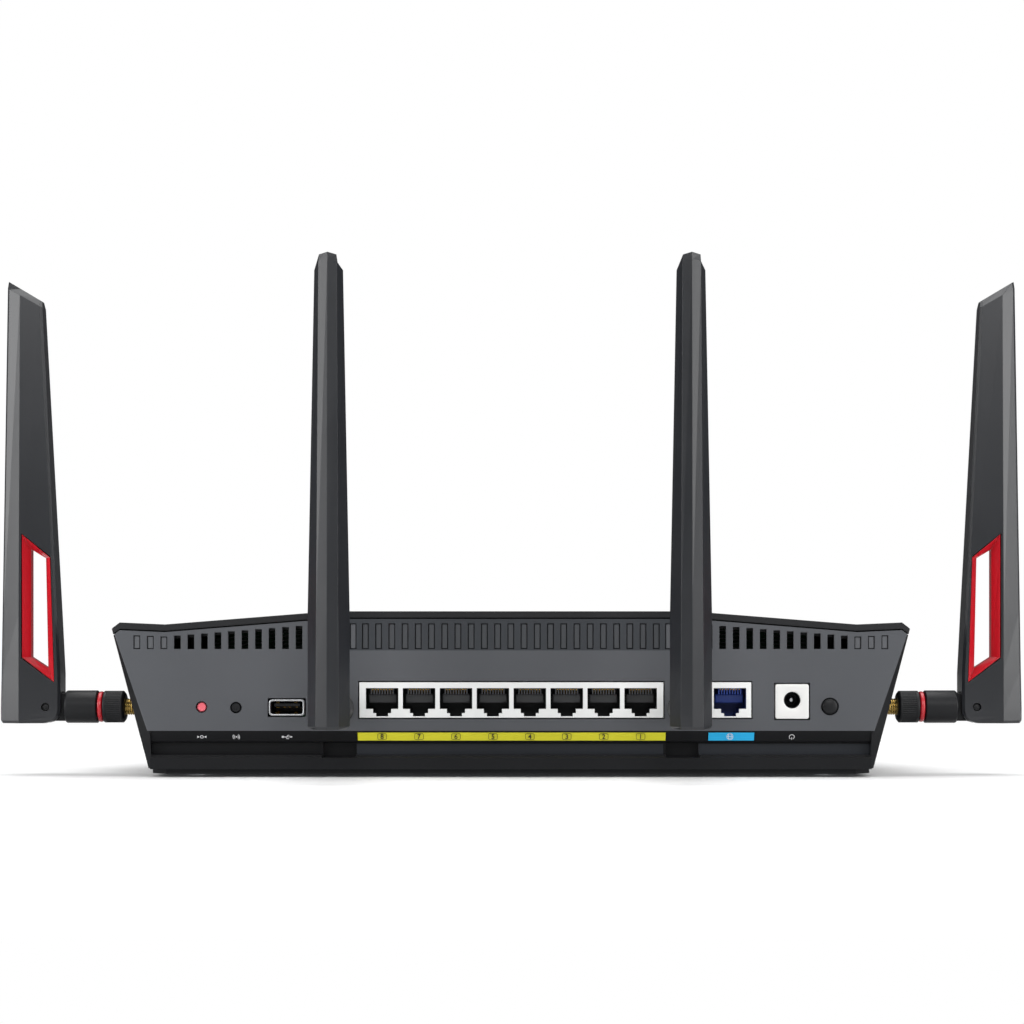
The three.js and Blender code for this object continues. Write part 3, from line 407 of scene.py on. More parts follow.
fade = add_node(
    tree, "ShaderNodeMapRange", {"interpolation_type": "SMOOTHSTEP"},
    Value=distance.outputs["Value"], From_Min=FADE_OUT[0], From_Max=FADE_OUT[1],
)
fade_seen = calculate(tree, "MULTIPLY", fade.outputs[0], ray["Is Camera Ray"])
glow = add_node(tree, "ShaderNodeEmission").outputs[0]
far_sheet = add_node(tree, "ShaderNodeMixShader", Fac=fade_seen, i1=shader.outputs[0], i2=glow)
near = calculate(tree, "LESS_THAN", ray["Ray Length"], JUST_OVER)
below = add_node(tree, "ShaderNodeNewGeometry").outputs["Backfacing"]
either = calculate(tree, "MAXIMUM", near, below)
clear = add_node(tree, "ShaderNodeBsdfTransparent").outputs[0]
sheet = add_node(tree, "ShaderNodeMixShader", Fac=either, i1=far_sheet.outputs[0], i2=clear)
tree.links.new(sheet.outputs[0], tree.nodes["Material Output"].inputs["Surface"])
floor_mesh.materials.append(floor_paint)
print("floor:", [2 * side for side in FLOOR_SIDE], "m")

# %% [markdown]
# Nearly everything here is moulded plastic. A mould leaves a very fine spark-eroded grain, the
# tone drifts a little over a hand's width, and dust settles on what faces up. Those effects
# repeat in many finishes, so each is a node group with named sockets, built once.

# %% Effect groups
grain_group, given, wanted = new_group(
    "moulded_grain",
    [("Tone", "Color"), ("Second Tone", "Color"), ("Grain Scale", "Float", 4000.0),
     ("Drift Scale", "Float", 30.0), ("Roughness", "Float", 0.5), ("Roughness Change", "Float", 0.1)],
    [("Color", "Color"), ("Roughness", "Float"), ("Height", "Float")],
)
place = add_node(grain_group, "ShaderNodeTexCoord").outputs["Object"]
fine = add_node(grain_group, "ShaderNodeTexNoise", Vector=place, Scale=given["Grain Scale"], Detail=2.0)
drift = add_node(grain_group, "ShaderNodeTexNoise", Vector=place, Scale=given["Drift Scale"], Detail=3.0)
speckle = calculate(grain_group, "MULTIPLY_ADD", fine.outputs[0], 0.35, -0.175)
share = calculate(grain_group, "ADD", drift.outputs[0], speckle)
grain_group.links.new(mix_tones(grain_group, share, given["Tone"], given["Second Tone"]), wanted["Color"])
swing = calculate(grain_group, "SUBTRACT", drift.outputs[0], 0.5)
rough = calculate(grain_group, "MULTIPLY_ADD", swing, given["Roughness Change"], given["Roughness"])
grain_group.links.new(rough, wanted["Roughness"])
grain_group.links.new(fine.outputs[0], wanted["Height"])

dust_group, given, wanted = new_group(
    "settled_dust",
    [("Color", "Color"), ("Dust", "Color"), ("Amount", "Float", 0.05)],
    [("Color", "Color"), ("Mask", "Float")],
)
place = add_node(dust_group, "ShaderNodeTexCoord").outputs["Object"]
facing = add_node(dust_group, "ShaderNodeNewGeometry").outputs["Normal"]
upward = add_node(dust_group, "ShaderNodeSeparateXYZ", Vector=facing).outputs["Z"]
level = add_node(dust_group, "ShaderNodeMapRange", Value=upward, From_Min=0.35, From_Max=0.95).outputs[0]
specks = add_node(dust_group, "ShaderNodeTexNoise", Vector=place, Scale=900.0, Detail=4.0).outputs[0]
patches = calculate(dust_group, "MULTIPLY", specks, level)
mask = calculate(dust_group, "MULTIPLY", patches, given["Amount"])
dust_group.links.new(mask, wanted["Mask"])
dust_group.links.new(mix_tones(dust_group, mask, given["Color"], given["Dust"]), wanted["Color"])

brush_group, given, wanted = new_group(
    "drawn_metal",
    [("Tone", "Color"), ("Second Tone", "Color"), ("Along", "Vector", (1.0, 1.0, 1.0)),
     ("Roughness", "Float", 0.3), ("Roughness Change", "Float", 0.2)],
    [("Color", "Color"), ("Roughness", "Float"), ("Height", "Float")],
)
place = add_node(brush_group, "ShaderNodeTexCoord").outputs["Object"]
drawn = add_node(
    brush_group, "ShaderNodeVectorMath", {"operation": "MULTIPLY"}, i0=place, i1=given["Along"]
)
streaks = add_node(
    brush_group, "ShaderNodeTexNoise", Vector=drawn.outputs[0], Scale=2500.0, Detail=3.0
)
lines = streaks.outputs[0]
brush_group.links.new(mix_tones(brush_group, lines, given["Tone"], given["Second Tone"]), wanted["Color"])
swing = calculate(brush_group, "SUBTRACT", lines, 0.5)
rough = calculate(brush_group, "MULTIPLY_ADD", swing, given["Roughness Change"], given["Roughness"])
brush_group.links.new(rough, wanted["Roughness"])
brush_group.links.new(lines, wanted["Height"])
print("groups:", [group.name for group in bpy.data.node_groups])

# %% [markdown]
# A finish is a Principled shader fed by those groups. Plastics take the mould's grain as a bump
# of a few thousandths of a millimetre, and metals take drawn lines. What is the same all over,
# such as the coat on the glossy red, is set on the shader's own socket.


# %% Finishes
def new_finish(name):
    """A material, its tree and its shader."""
    finish = bpy.data.materials.new(name)
    finish.use_nodes = True
    return finish, finish.node_tree, finish.node_tree.nodes["Principled BSDF"]


def use_group(tree, group, **inputs):
    """Sets a node group in a tree and hands back what it gives out."""
    return add_node(tree, "ShaderNodeGroup", {"node_tree": group}, **inputs).outputs


def feed(tree, shader, surface, colour, bump, edge=0.0):
    """Joins a group's outputs to the shader: colour, roughness, and its height as a fine bump.
    `edge` is the radius, in millimetres, that the light sees on otherwise sharp edges."""
    relief = add_node(tree, "ShaderNodeBump", Strength=1.0, Distance=bump * MM, Height=surface["Height"])
    if edge:
        worn = add_node(tree, "ShaderNodeBevel", {"samples": 4}, Radius=edge * MM)
        tree.links.new(worn.outputs[0], relief.inputs["Normal"])
    tree.links.new(colour, shader.inputs["Base Color"])
    tree.links.new(surface["Roughness"], shader.inputs["Roughness"])
    tree.links.new(relief.outputs[0], shader.inputs["Normal"])


DUST_TONE = tone(150, 148, 142)


def plastic(
    name, first, second, rough,
    grain=4000.0, bump=0.006, change=0.1, dust=0.03, coat=0.0, gloss=0.5, edge=0.0,
):
    """Moulded plastic: two close tones, a grain and a little dust, with a clear coat if asked."""
    finish, tree, shader = new_finish(name)
    surface = use_group(
        tree, grain_group,
        Tone=first, Second_Tone=second, Grain_Scale=grain, Roughness=rough, Roughness_Change=change,
    )
    dusty = use_group(tree, dust_group, Color=surface["Color"], Dust=DUST_TONE, Amount=dust)
    feed(tree, shader, surface, dusty["Color"], bump, edge)
    shader.inputs["Specular IOR Level"].default_value = gloss
    shader.inputs["Coat Weight"].default_value = coat
    shader.inputs["Coat Roughness"].default_value = 0.12
    return finish


def metal(name, first, second, rough, along=(1.0, 0.05, 1.0), bump=0.002, change=0.2):
    """Plated or drawn metal, its fine lines running the way that `along` stretches the pattern."""
    finish, tree, shader = new_finish(name)
    surface = use_group(
        tree, brush_group,
        Tone=first, Second_Tone=second, Along=along, Roughness=rough, Roughness_Change=change,
    )
    feed(tree, shader, surface, surface["Color"], bump)
    shader.inputs["Metallic"].default_value = 1.0
    return finish


finishes = {
    "cover": plastic(
        "cover_plastic", tone(24, 25, 27), tone(30, 31, 34), 0.5,
        grain=3000.0, bump=0.01, gloss=0.35, edge=0.4,
    ),
    "accent": plastic("gloss_red", tone(205, 30, 44), tone(190, 24, 38), 0.3, bump=0.002, coat=0.5),
    "window": plastic("smoked_pane", tone(10, 10, 12), tone(16, 16, 19), 0.12, bump=0.001, coat=1.0),
    "black_plastic": plastic("black_plastic", tone(17, 18, 20), tone(23, 24, 27), 0.42, gloss=0.3),
    "socket_plastic": plastic("socket_plastic", tone(58, 59, 60), tone(70, 71, 73), 0.5),
    "blue_plastic": plastic("blue_plastic", tone(22, 48, 118), tone(30, 60, 140), 0.45),
    "white_plastic": plastic("white_plastic", tone(242, 242, 240), tone(234, 234, 231), 0.4, dust=0.0),
    "yellow_print": plastic("yellow_print", tone(232, 228, 46), tone(224, 218, 40), 0.5, dust=0.0),
    "cyan_print": plastic("cyan_print", tone(36, 190, 246), tone(30, 180, 238), 0.5, dust=0.0),
    "rubber": plastic("foot_rubber", tone(26, 26, 26), tone(34, 34, 33), 0.8, grain=2200.0, bump=0.02),
    # the reset button is red; its pink tone is that red with a painted highlight mixed in
    "reset_plastic": plastic("reset_plastic", tone(248, 118, 130), tone(240, 96, 110), 0.4, coat=0.3),
    "antenna_plastic": plastic(
        "antenna_plastic", tone(24, 26, 30), tone(29, 31, 36), 0.3,
        bump=0.008, gloss=0.7, edge=0.25,
    ),
    "white_ink": plastic("white_ink", tone(236, 237, 238), tone(226, 227, 229), 0.5, dust=0.0),
    "dark_ink": plastic("dark_ink", tone(44, 42, 12), tone(36, 34, 10), 0.5, dust=0.0),
    "steel": metal("plated_steel", tone(196, 197, 199), tone(176, 178, 180), 0.3),
    "brass": metal("gold_plate", tone(226, 196, 120), tone(204, 172, 96), 0.24),
    "heatsink": metal("drawn_aluminium", tone(188, 190, 193), tone(168, 170, 174), 0.4),
    "contact": metal("contact_gold", tone(222, 180, 90), tone(198, 150, 66), 0.25),
}
print("finishes so far:", len(finishes))

# %% [markdown]
# The bottom case is one moulding, but its socket panel is painted grey and the rest is bare
# black. The paint's edge follows the panel: it is where a point lies on the panel's plane and
# above the step. Masks from Object coordinates draw it, a darker band marks the vents, and two
# lighter fields along the shelf under the sockets are painted sheen, light painted into the colour.


# %% The case's two tones, the painted sheen on the shelf, the painted sockets and the board
def between(tree, value, low, high):
    """1 where the value lies between low and high, otherwise 0."""
    return calculate(tree, "COMPARE", value, (low + high) / 2, (high - low) / 2)


STEP_TOP = 17.45 * MM      # the grey panel ends here, just above the label strip
BAND_BOTTOM = 47.7 * MM    # the darker band over the middle vents
BAND_HALF = 64 * MM
SHELF_SPANS = ((-58.2, 57.5), (69.6, 135.5))    # the fields of painted sheen, from side to side
SHELF_RISE, SHELF_DEPTH = (8.3, 12.4), 6        # their height, and how far in they reach
PANEL = tone(84, 86, 90), tone(90, 92, 96)
BAND = tone(58, 61, 65), tone(64, 67, 71)
BARE = tone(15, 16, 18), tone(20, 21, 24)
# painted sheen: the shelf's lighter tone stands in for the light that the shelf catches
SHELF_SHEEN = tone(44, 47, 52), tone(50, 53, 58)

case, tree, shader = new_finish("case_plastic")
place = add_node(tree, "ShaderNodeTexCoord").outputs["Object"]
axes = add_node(tree, "ShaderNodeSeparateXYZ", Vector=place).outputs
on_plane = between(tree, axes["Y"], panel_y - 0.4 * MM, panel_y + 0.35 * MM)
on_panel = calculate(tree, "MULTIPLY", on_plane, between(tree, axes["Z"], STEP_TOP, top.z))
high_band = between(tree, axes["Z"], BAND_BOTTOM, top.z)
band = calculate(tree, "MULTIPLY", between(tree, axes["X"], -BAND_HALF, BAND_HALF), high_band)
# where the shelf's painted sheen lies
shelf_fields = [between(tree, axes["X"], low * MM, high * MM) for low, high in SHELF_SPANS]
shelf_sides = calculate(tree, "ADD", *shelf_fields)
shelf_level = between(tree, axes["Z"], SHELF_RISE[0] * MM, SHELF_RISE[1] * MM)
shelf_face = calculate(tree, "LESS_THAN", axes["Y"], panel_y + SHELF_DEPTH * MM)
shelf = calculate(tree, "MULTIPLY", calculate(tree, "MULTIPLY", shelf_sides, shelf_level), shelf_face)
tones = []
for panel, dark, bare, shelf_sheen in zip(PANEL, BAND, BARE, SHELF_SHEEN):
    # the shelf fields take the painted sheen over the bare black
    below = mix_tones(tree, shelf, bare, shelf_sheen)
    tones.append(mix_tones(tree, on_panel, below, mix_tones(tree, band, panel, dark)))
surface = use_group(
    tree, grain_group, Tone=tones[0], Second_Tone=tones[1], Grain_Scale=3500.0, Roughness=0.5
)
dusty = use_group(tree, dust_group, Color=surface["Color"], Dust=DUST_TONE, Amount=0.03)
feed(tree, shader, surface, dusty["Color"], 0.008, 0.45)
shader.inputs["Specular IOR Level"].default_value = 0.2
finishes["case"] = case

finishes["socket_frame"] = plastic(
    "painted_frame", tone(246, 247, 246), tone(236, 238, 237), 0.35, grain=1500.0, bump=0.003, dust=0.0
)

board, tree, shader = new_finish("solder_mask")
place = add_node(tree, "ShaderNodeTexCoord").outputs["Object"]
cells = add_node(
    tree, "ShaderNodeTexVoronoi", {"feature": "DISTANCE_TO_EDGE", "distance": "EUCLIDEAN"},
    Vector=place, Scale=260.0,
)
track = between(tree, cells.outputs["Distance"], 0.0, 0.05)
surface = use_group(
    tree, grain_group,
    Tone=mix_tones(tree, track, tone(16, 62, 34), tone(42, 104, 58)),
    Second_Tone=mix_tones(tree, track, tone(20, 70, 40), tone(48, 112, 64)),
    Grain_Scale=1800.0, Roughness=0.35,
)
feed(tree, shader, surface, surface["Color"], 0.01)
finishes["circuit_board"] = board

for node, slot in slot_of.items():
    frame["nodes"][node].material_slots[0].material = finishes[slot]
print("finishes:", len(finishes), "on", len(slot_of), "nodes")

# %% [markdown]
# A moulded edge is never razor sharp: the tool leaves a small radius, and that is where light
# catches. The large shells get it in their finish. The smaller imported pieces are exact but
# sharp, so a copy of each is welded and a Bevel modifier rounds its edges.


# %% Shells with rounded edges
def softened(node, width, turn=25, segments=2):
    """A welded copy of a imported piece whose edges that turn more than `turn` degrees are rounded."""
    mesh = frame["nodes"][node].data.copy()
    tidy(mesh)
    slot = slot_of[node]
    copy = add_piece(node + "_moulded", mesh, finishes[slot], body_of[node], [node], crease=8)
    rounding = copy.modifiers.new("rounded_edges", "BEVEL")
    rounding.width = width * MM
    rounding.segments = segments
    rounding.limit_method = "ANGLE"
    rounding.angle_limit = math.radians(turn)
    rounding.use_clamp_overlap = False
    rounding.harden_normals = True
    return copy


SOFT_EDGES = {
    "lan_shield": 0.1, "wan_shield": 0.1,
    "lan_housing": 0.1, "wan_housing": 0.1, "accent_stripe": 0.15, "light_window": 0.15,
    "shield_can": 0.3, "lan_label": 0.04, "wan_label": 0.04,
}
for name in ANTENNAS:
    SOFT_EDGES[f"{name}_window_trim"] = 0.12
for node, width in SOFT_EDGES.items():
    softened(node, width)
print("rounded shells:", len(SOFT_EDGES))

# %% [markdown]
# Each antenna screws on. A gold-plated barrel with a fine thread comes out of the wall, a
# ridged nut grips it, a red ring marks the joint, and a round elbow carries the hinge. They
# are all turned parts, so each is one profile swept round the connector's axis; the thread is
# a wave that also runs with the angle, which winds it into a helix.

# %% Connector barrels
BARREL_RADIUS = 3.2
THREAD_PITCH, THREAD_DEPTH = 0.8, 0.3
COLLAR_RADIUS, COLLAR_LENGTH = 3.6, 6    # the plain part next to the wall


def threaded(near, far, radius, start, along, sides=40):
    """A helical thread: radius - depth * (1 - cos(2 pi distance / pitch - angle)) / 2, with both
    ends closed onto the axis."""
    first, second = across_of(along)
    distance = np.arange(near, far, THREAD_PITCH / 6)
    angle = np.linspace(0, 2 * np.pi, sides, endpoint=False)
    wave = (1 - np.cos(2 * np.pi * distance[:, None] / THREAD_PITCH - angle)) / 2
    reach = (radius - THREAD_DEPTH * wave) * MM
    ring = np.cos(angle)[:, None] * first + np.sin(angle)[:, None] * second
    middle = np.array(start) + distance[:, None] * MM * np.array(along)
    skin = middle[:, None, :] + reach[:, :, None] * ring
    ends = [np.repeat(middle[i][None, None], sides, axis=1) for i in (0, -1)]
    return np.concatenate([ends[0], skin, ends[1]])


for name in ANTENNAS:
    pin, out, side = antenna_axes(name)
    near, far = span(f"{name}_jack", pin, out)
    step = near + COLLAR_LENGTH
    collar = [(near, 0), (near, COLLAR_RADIUS), (step, COLLAR_RADIUS), (step, 3.0), (step, 0)]
    barrel = [threaded(near, far, BARREL_RADIUS, pin, out), turned(collar, pin, out, sides=40)]
    build(f"{name}_barrel", barrel, "brass", stands_for=[f"{name}_jack"], crease=60)
print("barrels:", len(ANTENNAS), "thread pitch", THREAD_PITCH, "mm")


# %% [markdown]
# The nut is moulded with ridges for the fingers, the ring is a smooth bead, and the elbow ends
# in a flat tongue that the blade's fork straddles. Only the nut needs many points round its
# axis, because each ridge takes five.


# %% Nuts, rings and elbows
def nut_profile(near, far, radius, bore):
    """The nut's section: a chamfer at the wall end, a gripped middle with ridges, a plain band."""
    return [
        (near, bore), (near, radius - 1.3), (near + 0.12, radius - 1.0), (near + 0.8, radius - 0.12),
        (near + 1.0, radius), (near + 1.5, radius, 0), (near + 1.7, radius, 1), (far - 1.3, radius, 1),
        (far - 1.1, radius, 0), (far - 0.4, radius), (far - 0.12, radius - 0.12),
        (far, radius - 0.4), (far, bore),
    ]


def ring_profile(near, far, radius, bore, steps=9):
    """The ring's section: a half ellipse between its two faces, standing on a short flat band."""
    angle = np.linspace(0, np.pi, steps)
    middle, half = (near + far) / 2, (far - near) / 2
    arc = np.stack([middle - half * np.cos(angle), radius - 0.45 + 0.45 * np.sin(angle)], 1)
    return [(near, bore), *map(tuple, arc), (far, bore)]


def elbow_profile(near, shoulder, far, radius, core):
    """The elbow's section: a thin core that enters the nut, a square shoulder with a small radius,
    a long plain barrel and a softly domed end made of an elliptic quarter."""
    angle = np.linspace(0, np.pi / 2, 10)
    dome = np.stack([far - 1.1 + 0.9 * np.sin(angle), (radius - 0.9) + 0.9 * np.cos(angle)], 1)
    crown = [(far - 0.05, radius - 2.4), (far, radius - 4), (far, 0)]
    return [
        (near, 0), (near, core), (shoulder, core), (shoulder, radius - 0.45),
        (shoulder + 0.1, radius - 0.18), (shoulder + 0.35, radius), (shoulder + 0.9, radius),
        *map(tuple, dome), *crown,
    ]


def stadium(reach, radius, steps=14):
    """Outline of the hinge tongue: a half circle about the pin and straight sides back to the
    barrel, as (distance from the pin, height)."""
    angle = np.linspace(-np.pi / 2, np.pi / 2, steps)
    nose = radius * np.stack([np.cos(angle), np.sin(angle)], 1)
    return np.concatenate([nose, [(-reach, radius), (-reach, -radius)]])


BORE = 3.5
NUT_SIDES, NUT_RIDGES, RIDGE_DEPTH = 240, 48, 0.22
HINGE_CLEARANCE = 1.1    # from the elbow's end to the blade's inner edge
TONGUE_REACH = 10        # from the pin back into the elbow
TONGUE_LEVELS = [(-3, 0.35), (-2.65, 0), (2.65, 0), (3, 0.35)]
for name in ANTENNAS:
    pin, out, side = antenna_axes(name)
    near, far = span(f"{name}_nut", pin, out)
    profile = nut_profile(near, far, radius_of(f"{name}_nut"), BORE)
    nut = turned(profile, pin, out, NUT_SIDES, NUT_RIDGES, RIDGE_DEPTH)
    build(
        f"{name}_grip", [nut], "black_plastic",
        body=f"{name}_nut_turn", stands_for=[f"{name}_nut"], close_rows=True,
    )
    near, far = span(f"{name}_ring", pin, out)
    ring = turned(ring_profile(near, far, radius_of(f"{name}_ring"), BORE), pin, out)
    build(
        f"{name}_red_ring", [ring], "accent",
        body=f"{name}_elbow_turn", stands_for=[f"{name}_ring"], close_rows=True,
    )
    start, reach = span(f"{name}_elbow", pin, out)
    end = span(f"{name}_blade", pin, out)[0] - HINGE_CLEARANCE
    profile = elbow_profile(start, far + 0.3, end, radius_of(f"{name}_elbow"), BORE - 0.4)
    tongue = stacked(stadium(TONGUE_REACH, reach), TONGUE_LEVELS, pin, out, UP, side)
    build(
        f"{name}_knuckle", [turned(profile, pin, out, 96), tongue], "black_plastic",
        body=f"{name}_elbow_turn", stands_for=[f"{name}_elbow"],
    )
print("turned pieces per antenna: 4")

# %% [markdown]
# The hinge pin shows as a small dimpled disc in the blade's side. It is a turned rod with a
# rounded rim and a shallow dish at each end.

# %% Hinge pins
DISH = [(0, 0), (0, 0.5), (-0.15, 0.8), (-0.15, 1.05), (0, 1.2), (0.12, 1.3)]    # one end's section
for name in ANTENNAS:
    pin, out, side = antenna_axes(name)
    near, far = span(f"{name}_hinge_pin", pin, side)
    ends = [(near - a, r) for a, r in DISH] + [(far + a, r) for a, r in reversed(DISH)]
    build(
        f"{name}_rivet", [turned(ends, pin, side, 40)], "black_plastic",
        body=f"{name}_elbow_turn", stands_for=[f"{name}_hinge_pin"],
    )
print("pins:", len(ANTENNAS))

# %% [markdown]
# Under the roof runs a row of ventilation slots. The middle ones and the outermost are blind on
# the real part: a plug the colour of the panel sits in each, with a hair of dark gap round it.
# The plugs are prisms with softened fronts, stacked from a rounded outline.

# %% Blind slots
SLOT = {"width": 2.5, "bottom": 48.2, "depth": 0.9, "gap": 0.3}
PLUG_LEVELS = [(0.08, 0.1), (0.18, 0), (SLOT["depth"], 0)]
MIDDLE_PITCH, MIDDLE_EACH = 4.97, 11                      # eleven to each side of the middle one
SIDE_FIRST, SIDE_PITCH = 79.6, 5.08
BLIND = (*range(-4, 0), *range(10, 13))                   # steps from the first side slot
ROOF_DISTANCE, SLOT_TOP = (67.7, 130, 147), (57.8, 52.85, 53.6)    # the tops, by distance out


def slot_plug(x):
    """A rounded rectangle a gap smaller than the slot, lifted from the slot's floor to just
    behind the panel's face. The slot's top follows the roof's slope."""
    slot_top = float(np.interp(abs(x), ROOF_DISTANCE, SLOT_TOP))
    tall = slot_top - SLOT["bottom"]
    outline = rounded_outline(SLOT["width"] - 2 * SLOT["gap"], tall - 2 * SLOT["gap"], 0.2, 4)
    middle = (x * MM, panel_y, (SLOT["bottom"] + tall / 2) * MM)
    return stacked(outline, PLUG_LEVELS, middle, *REAR_FACE)


middle_places = [i * MIDDLE_PITCH for i in range(-MIDDLE_EACH, MIDDLE_EACH + 1)]
side_places = [side * (SIDE_FIRST + i * SIDE_PITCH) for i in BLIND for side in (-1, 1)]
finishes["vent_middle"] = plastic("vent_middle_plastic", BAND[0], BAND[1], 0.5, grain=3500.0, bump=0.008)
finishes["vent_side"] = plastic("vent_side_plastic", PANEL[0], PANEL[1], 0.5, grain=3500.0, bump=0.008)
for name, places, look in (
    ("middle_slot_plugs", middle_places, "vent_middle"),
    ("side_slot_plugs", side_places, "vent_side"),
):
    build(name, [slot_plug(x) for x in places], look)
print("plugs:", len(middle_places), "and", len(side_places))

# %% [markdown]
# A network socket is read by its inside: a comb of thin walls at the top parts eight gold
# springs, a plate slopes behind them, and the latch's notch ends in a folded metal sill. The
# nine sockets are alike, so each part of one is made once and set at every opening.

# %% Socket insides
OPENING_TOP = 33.5
COMB = {"pitch": 1.02, "wall": 0.42, "drop": 2.35, "front": 0.5, "back": 5.0}
WIRE = (0.28 * MM, 0.4 * MM)                 # a spring's width and thickness
PLATE_LEAN = (0, -0.25, 0.97)                # the way up the sloping plate, and the way into it
PLATE_INWARD = (0, 0.97, 0.25)
centres = {
    name: float(box[:, 0].mean())
    for name, box in openings.items()
    if "socket" in name and "usb" not in name
}


def comb(x):
    """Nine thin walls hanging from the top of the opening, each a bar run from front to back."""
    height = (OPENING_TOP - COMB["drop"] / 2) * MM
    depths = np.linspace(COMB["front"], COMB["back"], 3)
    bars = []
    for i in range(9):
        across = x + (i - 4) * COMB["pitch"] * MM
        path = np.stack([np.full(3, across), panel_y + depths * MM, np.full(3, height)], 1)
        bars.append(stroke(path, COMB["wall"] * MM, COMB["drop"] * MM, UP))
    return bars


def springs(x):
    """Eight wires between the walls: each leans back and down, z = top - 0.5 - 1.9 t^1.4, while y
    runs evenly from the front of the comb past its back, for t from 0 to 1."""
    t = np.linspace(0, 1, 7)
    wires = []
    for i in range(8):
        across = np.full(7, x + (i - 3.5) * COMB["pitch"] * MM)
        back = panel_y + (COMB["front"] + 0.5 + 4.5 * t) * MM
        height = (OPENING_TOP - 0.5 - 1.9 * t**1.4) * MM
        wires.append(stroke(np.stack([across, back, height], 1), *WIRE, ACROSS))
    return wires


def back_plate(x):
    """A sloping plate under the comb: a rounded outline set on a plane that leans back downwards."""
    middle = (x, panel_y + 4.1 * MM, 29.4 * MM)
    levels = [(0, 0.3), (0.25, 0), (2, 0)]
    outline = rounded_outline(10.4, 3.3, 0.4)
    return stacked(outline, levels, middle, ACROSS, PLATE_LEAN, PLATE_INWARD)


def sill(x):
    """A folded metal lip under the latch's notch."""
    middle = (x, panel_y - 0.36 * MM, 22.68 * MM)
    levels = [(0, 0.06), (0.06, 0), (0.5, 0)]
    return stacked(rounded_outline(4.3, 0.42, 0.15, 3), levels, middle, *REAR_FACE)


for name, x in centres.items():
    wan = name.startswith("wan")
    look, slot = ("blue_plastic", "blue_plastic") if wan else ("socket_plastic", "black_plastic")
    build(f"{name}_comb", [*comb(x), back_plate(x)], look)
    build(f"{name}_springs", springs(x), "contact")
    build(f"{name}_sill", [sill(x)], "steel")
print("sockets fitted:", len(centres))

# %% [markdown]
# A flat socket is a folded steel shell with round corners, a dark tongue with four contacts,
# and small spring tabs that hold the plug. The shell is one stack of a rounded outline that
# goes forward along the outside, over the lip and back along the inside.


# %% Flat sockets
SHELL_CORNER = 1.1


def flat_socket(node, inward):
    """The shell as a stack: (distance behind the lip, inset) out along the lip and back inside."""
    low, high = corners_of(node)
    width, height, deep = high[0] - low[0], high[2] - low[2], high[1] - low[1]
    mouth = low[1] if inward > 0 else high[1]
    middle = np.array([(low[0] + high[0]) / 2, mouth, (low[2] + high[2]) / 2]) * MM
    levels = [(deep, 0), (0.15, 0), (0, 0.12), (0, 0.42), (0.12, 0.6), (deep - 0.8, 0.6)]
    outline = rounded_outline(width, height, SHELL_CORNER)
    shell = stacked(outline, levels, middle, ACROSS, UP, (0, inward, 0))
    build(node + "_folded", [shell], "steel", stands_for=[node], crease=50)
    return middle, deep


def spring_tabs(middle, inward):
    """Four tabs, two on the floor and two on the roof, each an arch y = t, z = lift * sin(pi t)."""
    t = np.linspace(0, 1, 9)
    tabs = []
    for side in (-1, 1):
        for level in (-1, 1):
            arch = level * (2.15 - 0.6 * np.sin(np.pi * t))
            path = np.stack([np.full(9, side * 3.4), inward * (0.9 + 5 * t), arch], 1)
            tabs.append(stroke(middle + MM * path, 0.18 * MM, 1.3 * MM, ACROSS))
    return tabs


TONGUE_RISE = 0.98    # the tongue lies above the socket's middle, and its contacts under it
CONTACTS = (-3.5, -1, 1, 3.5)
for node, inward in (("usb_rear_shell", 1), ("usb_front_shell", -1)):
    middle, deep = flat_socket(node, inward)
    cup = [(deep - 0.85, 0.64), (0.7, 0.64), (0.7, 0.74), (deep - 1.0, 0.74)]
    directions = (ACROSS, UP, (0, inward, 0))
    liner = stacked(rounded_outline(13.4, 6.0, SHELL_CORNER), cup, middle, *directions)
    build(node + "_liner", [liner], "black_plastic")
    build(node + "_tabs", spring_tabs(middle, inward), "contact")
    levels = [(1.7, 0.3), (2.0, 0.08), (2.3, 0), (deep - 1.2, 0)]
    seat = middle + np.array([0, 0, TONGUE_RISE * MM])
    tongue = stacked(rounded_outline(10.2, 1.55, 0.3), levels, seat, *directions)
    stands_for = ["usb_rear_tongue"] if inward > 0 else []
    build(node + "_tongue", [tongue], "black_plastic", stands_for=stands_for)
    strips = []
    for x in CONTACTS:
        run = [np.full(3, x), inward * np.linspace(2.4, 9, 3), np.full(3, 0.19)]
        strips.append(stroke(middle + MM * np.stack(run, 1), 1.0 * MM, 0.1 * MM, UP))
    build(node + "_strips", strips, "contact")
print("flat sockets: 2")

# %% [markdown]
# The power inlet is a white block with a black-lined round hole and a pin. Its skin is one
# grid: the rows go from the block's round-cornered outline to the hole's circle, point by
# point at the same angle, so no cutting is needed.

# %% Power inlet
HOLE_STEPS = ((0, 3.5), (0.1, 3.25), (0.4, 3.1), (10.8, 3.1))    # (depth, radius), the mouth first
CORNER_STEPS = 16    # points round each corner, and round each quarter of the hole

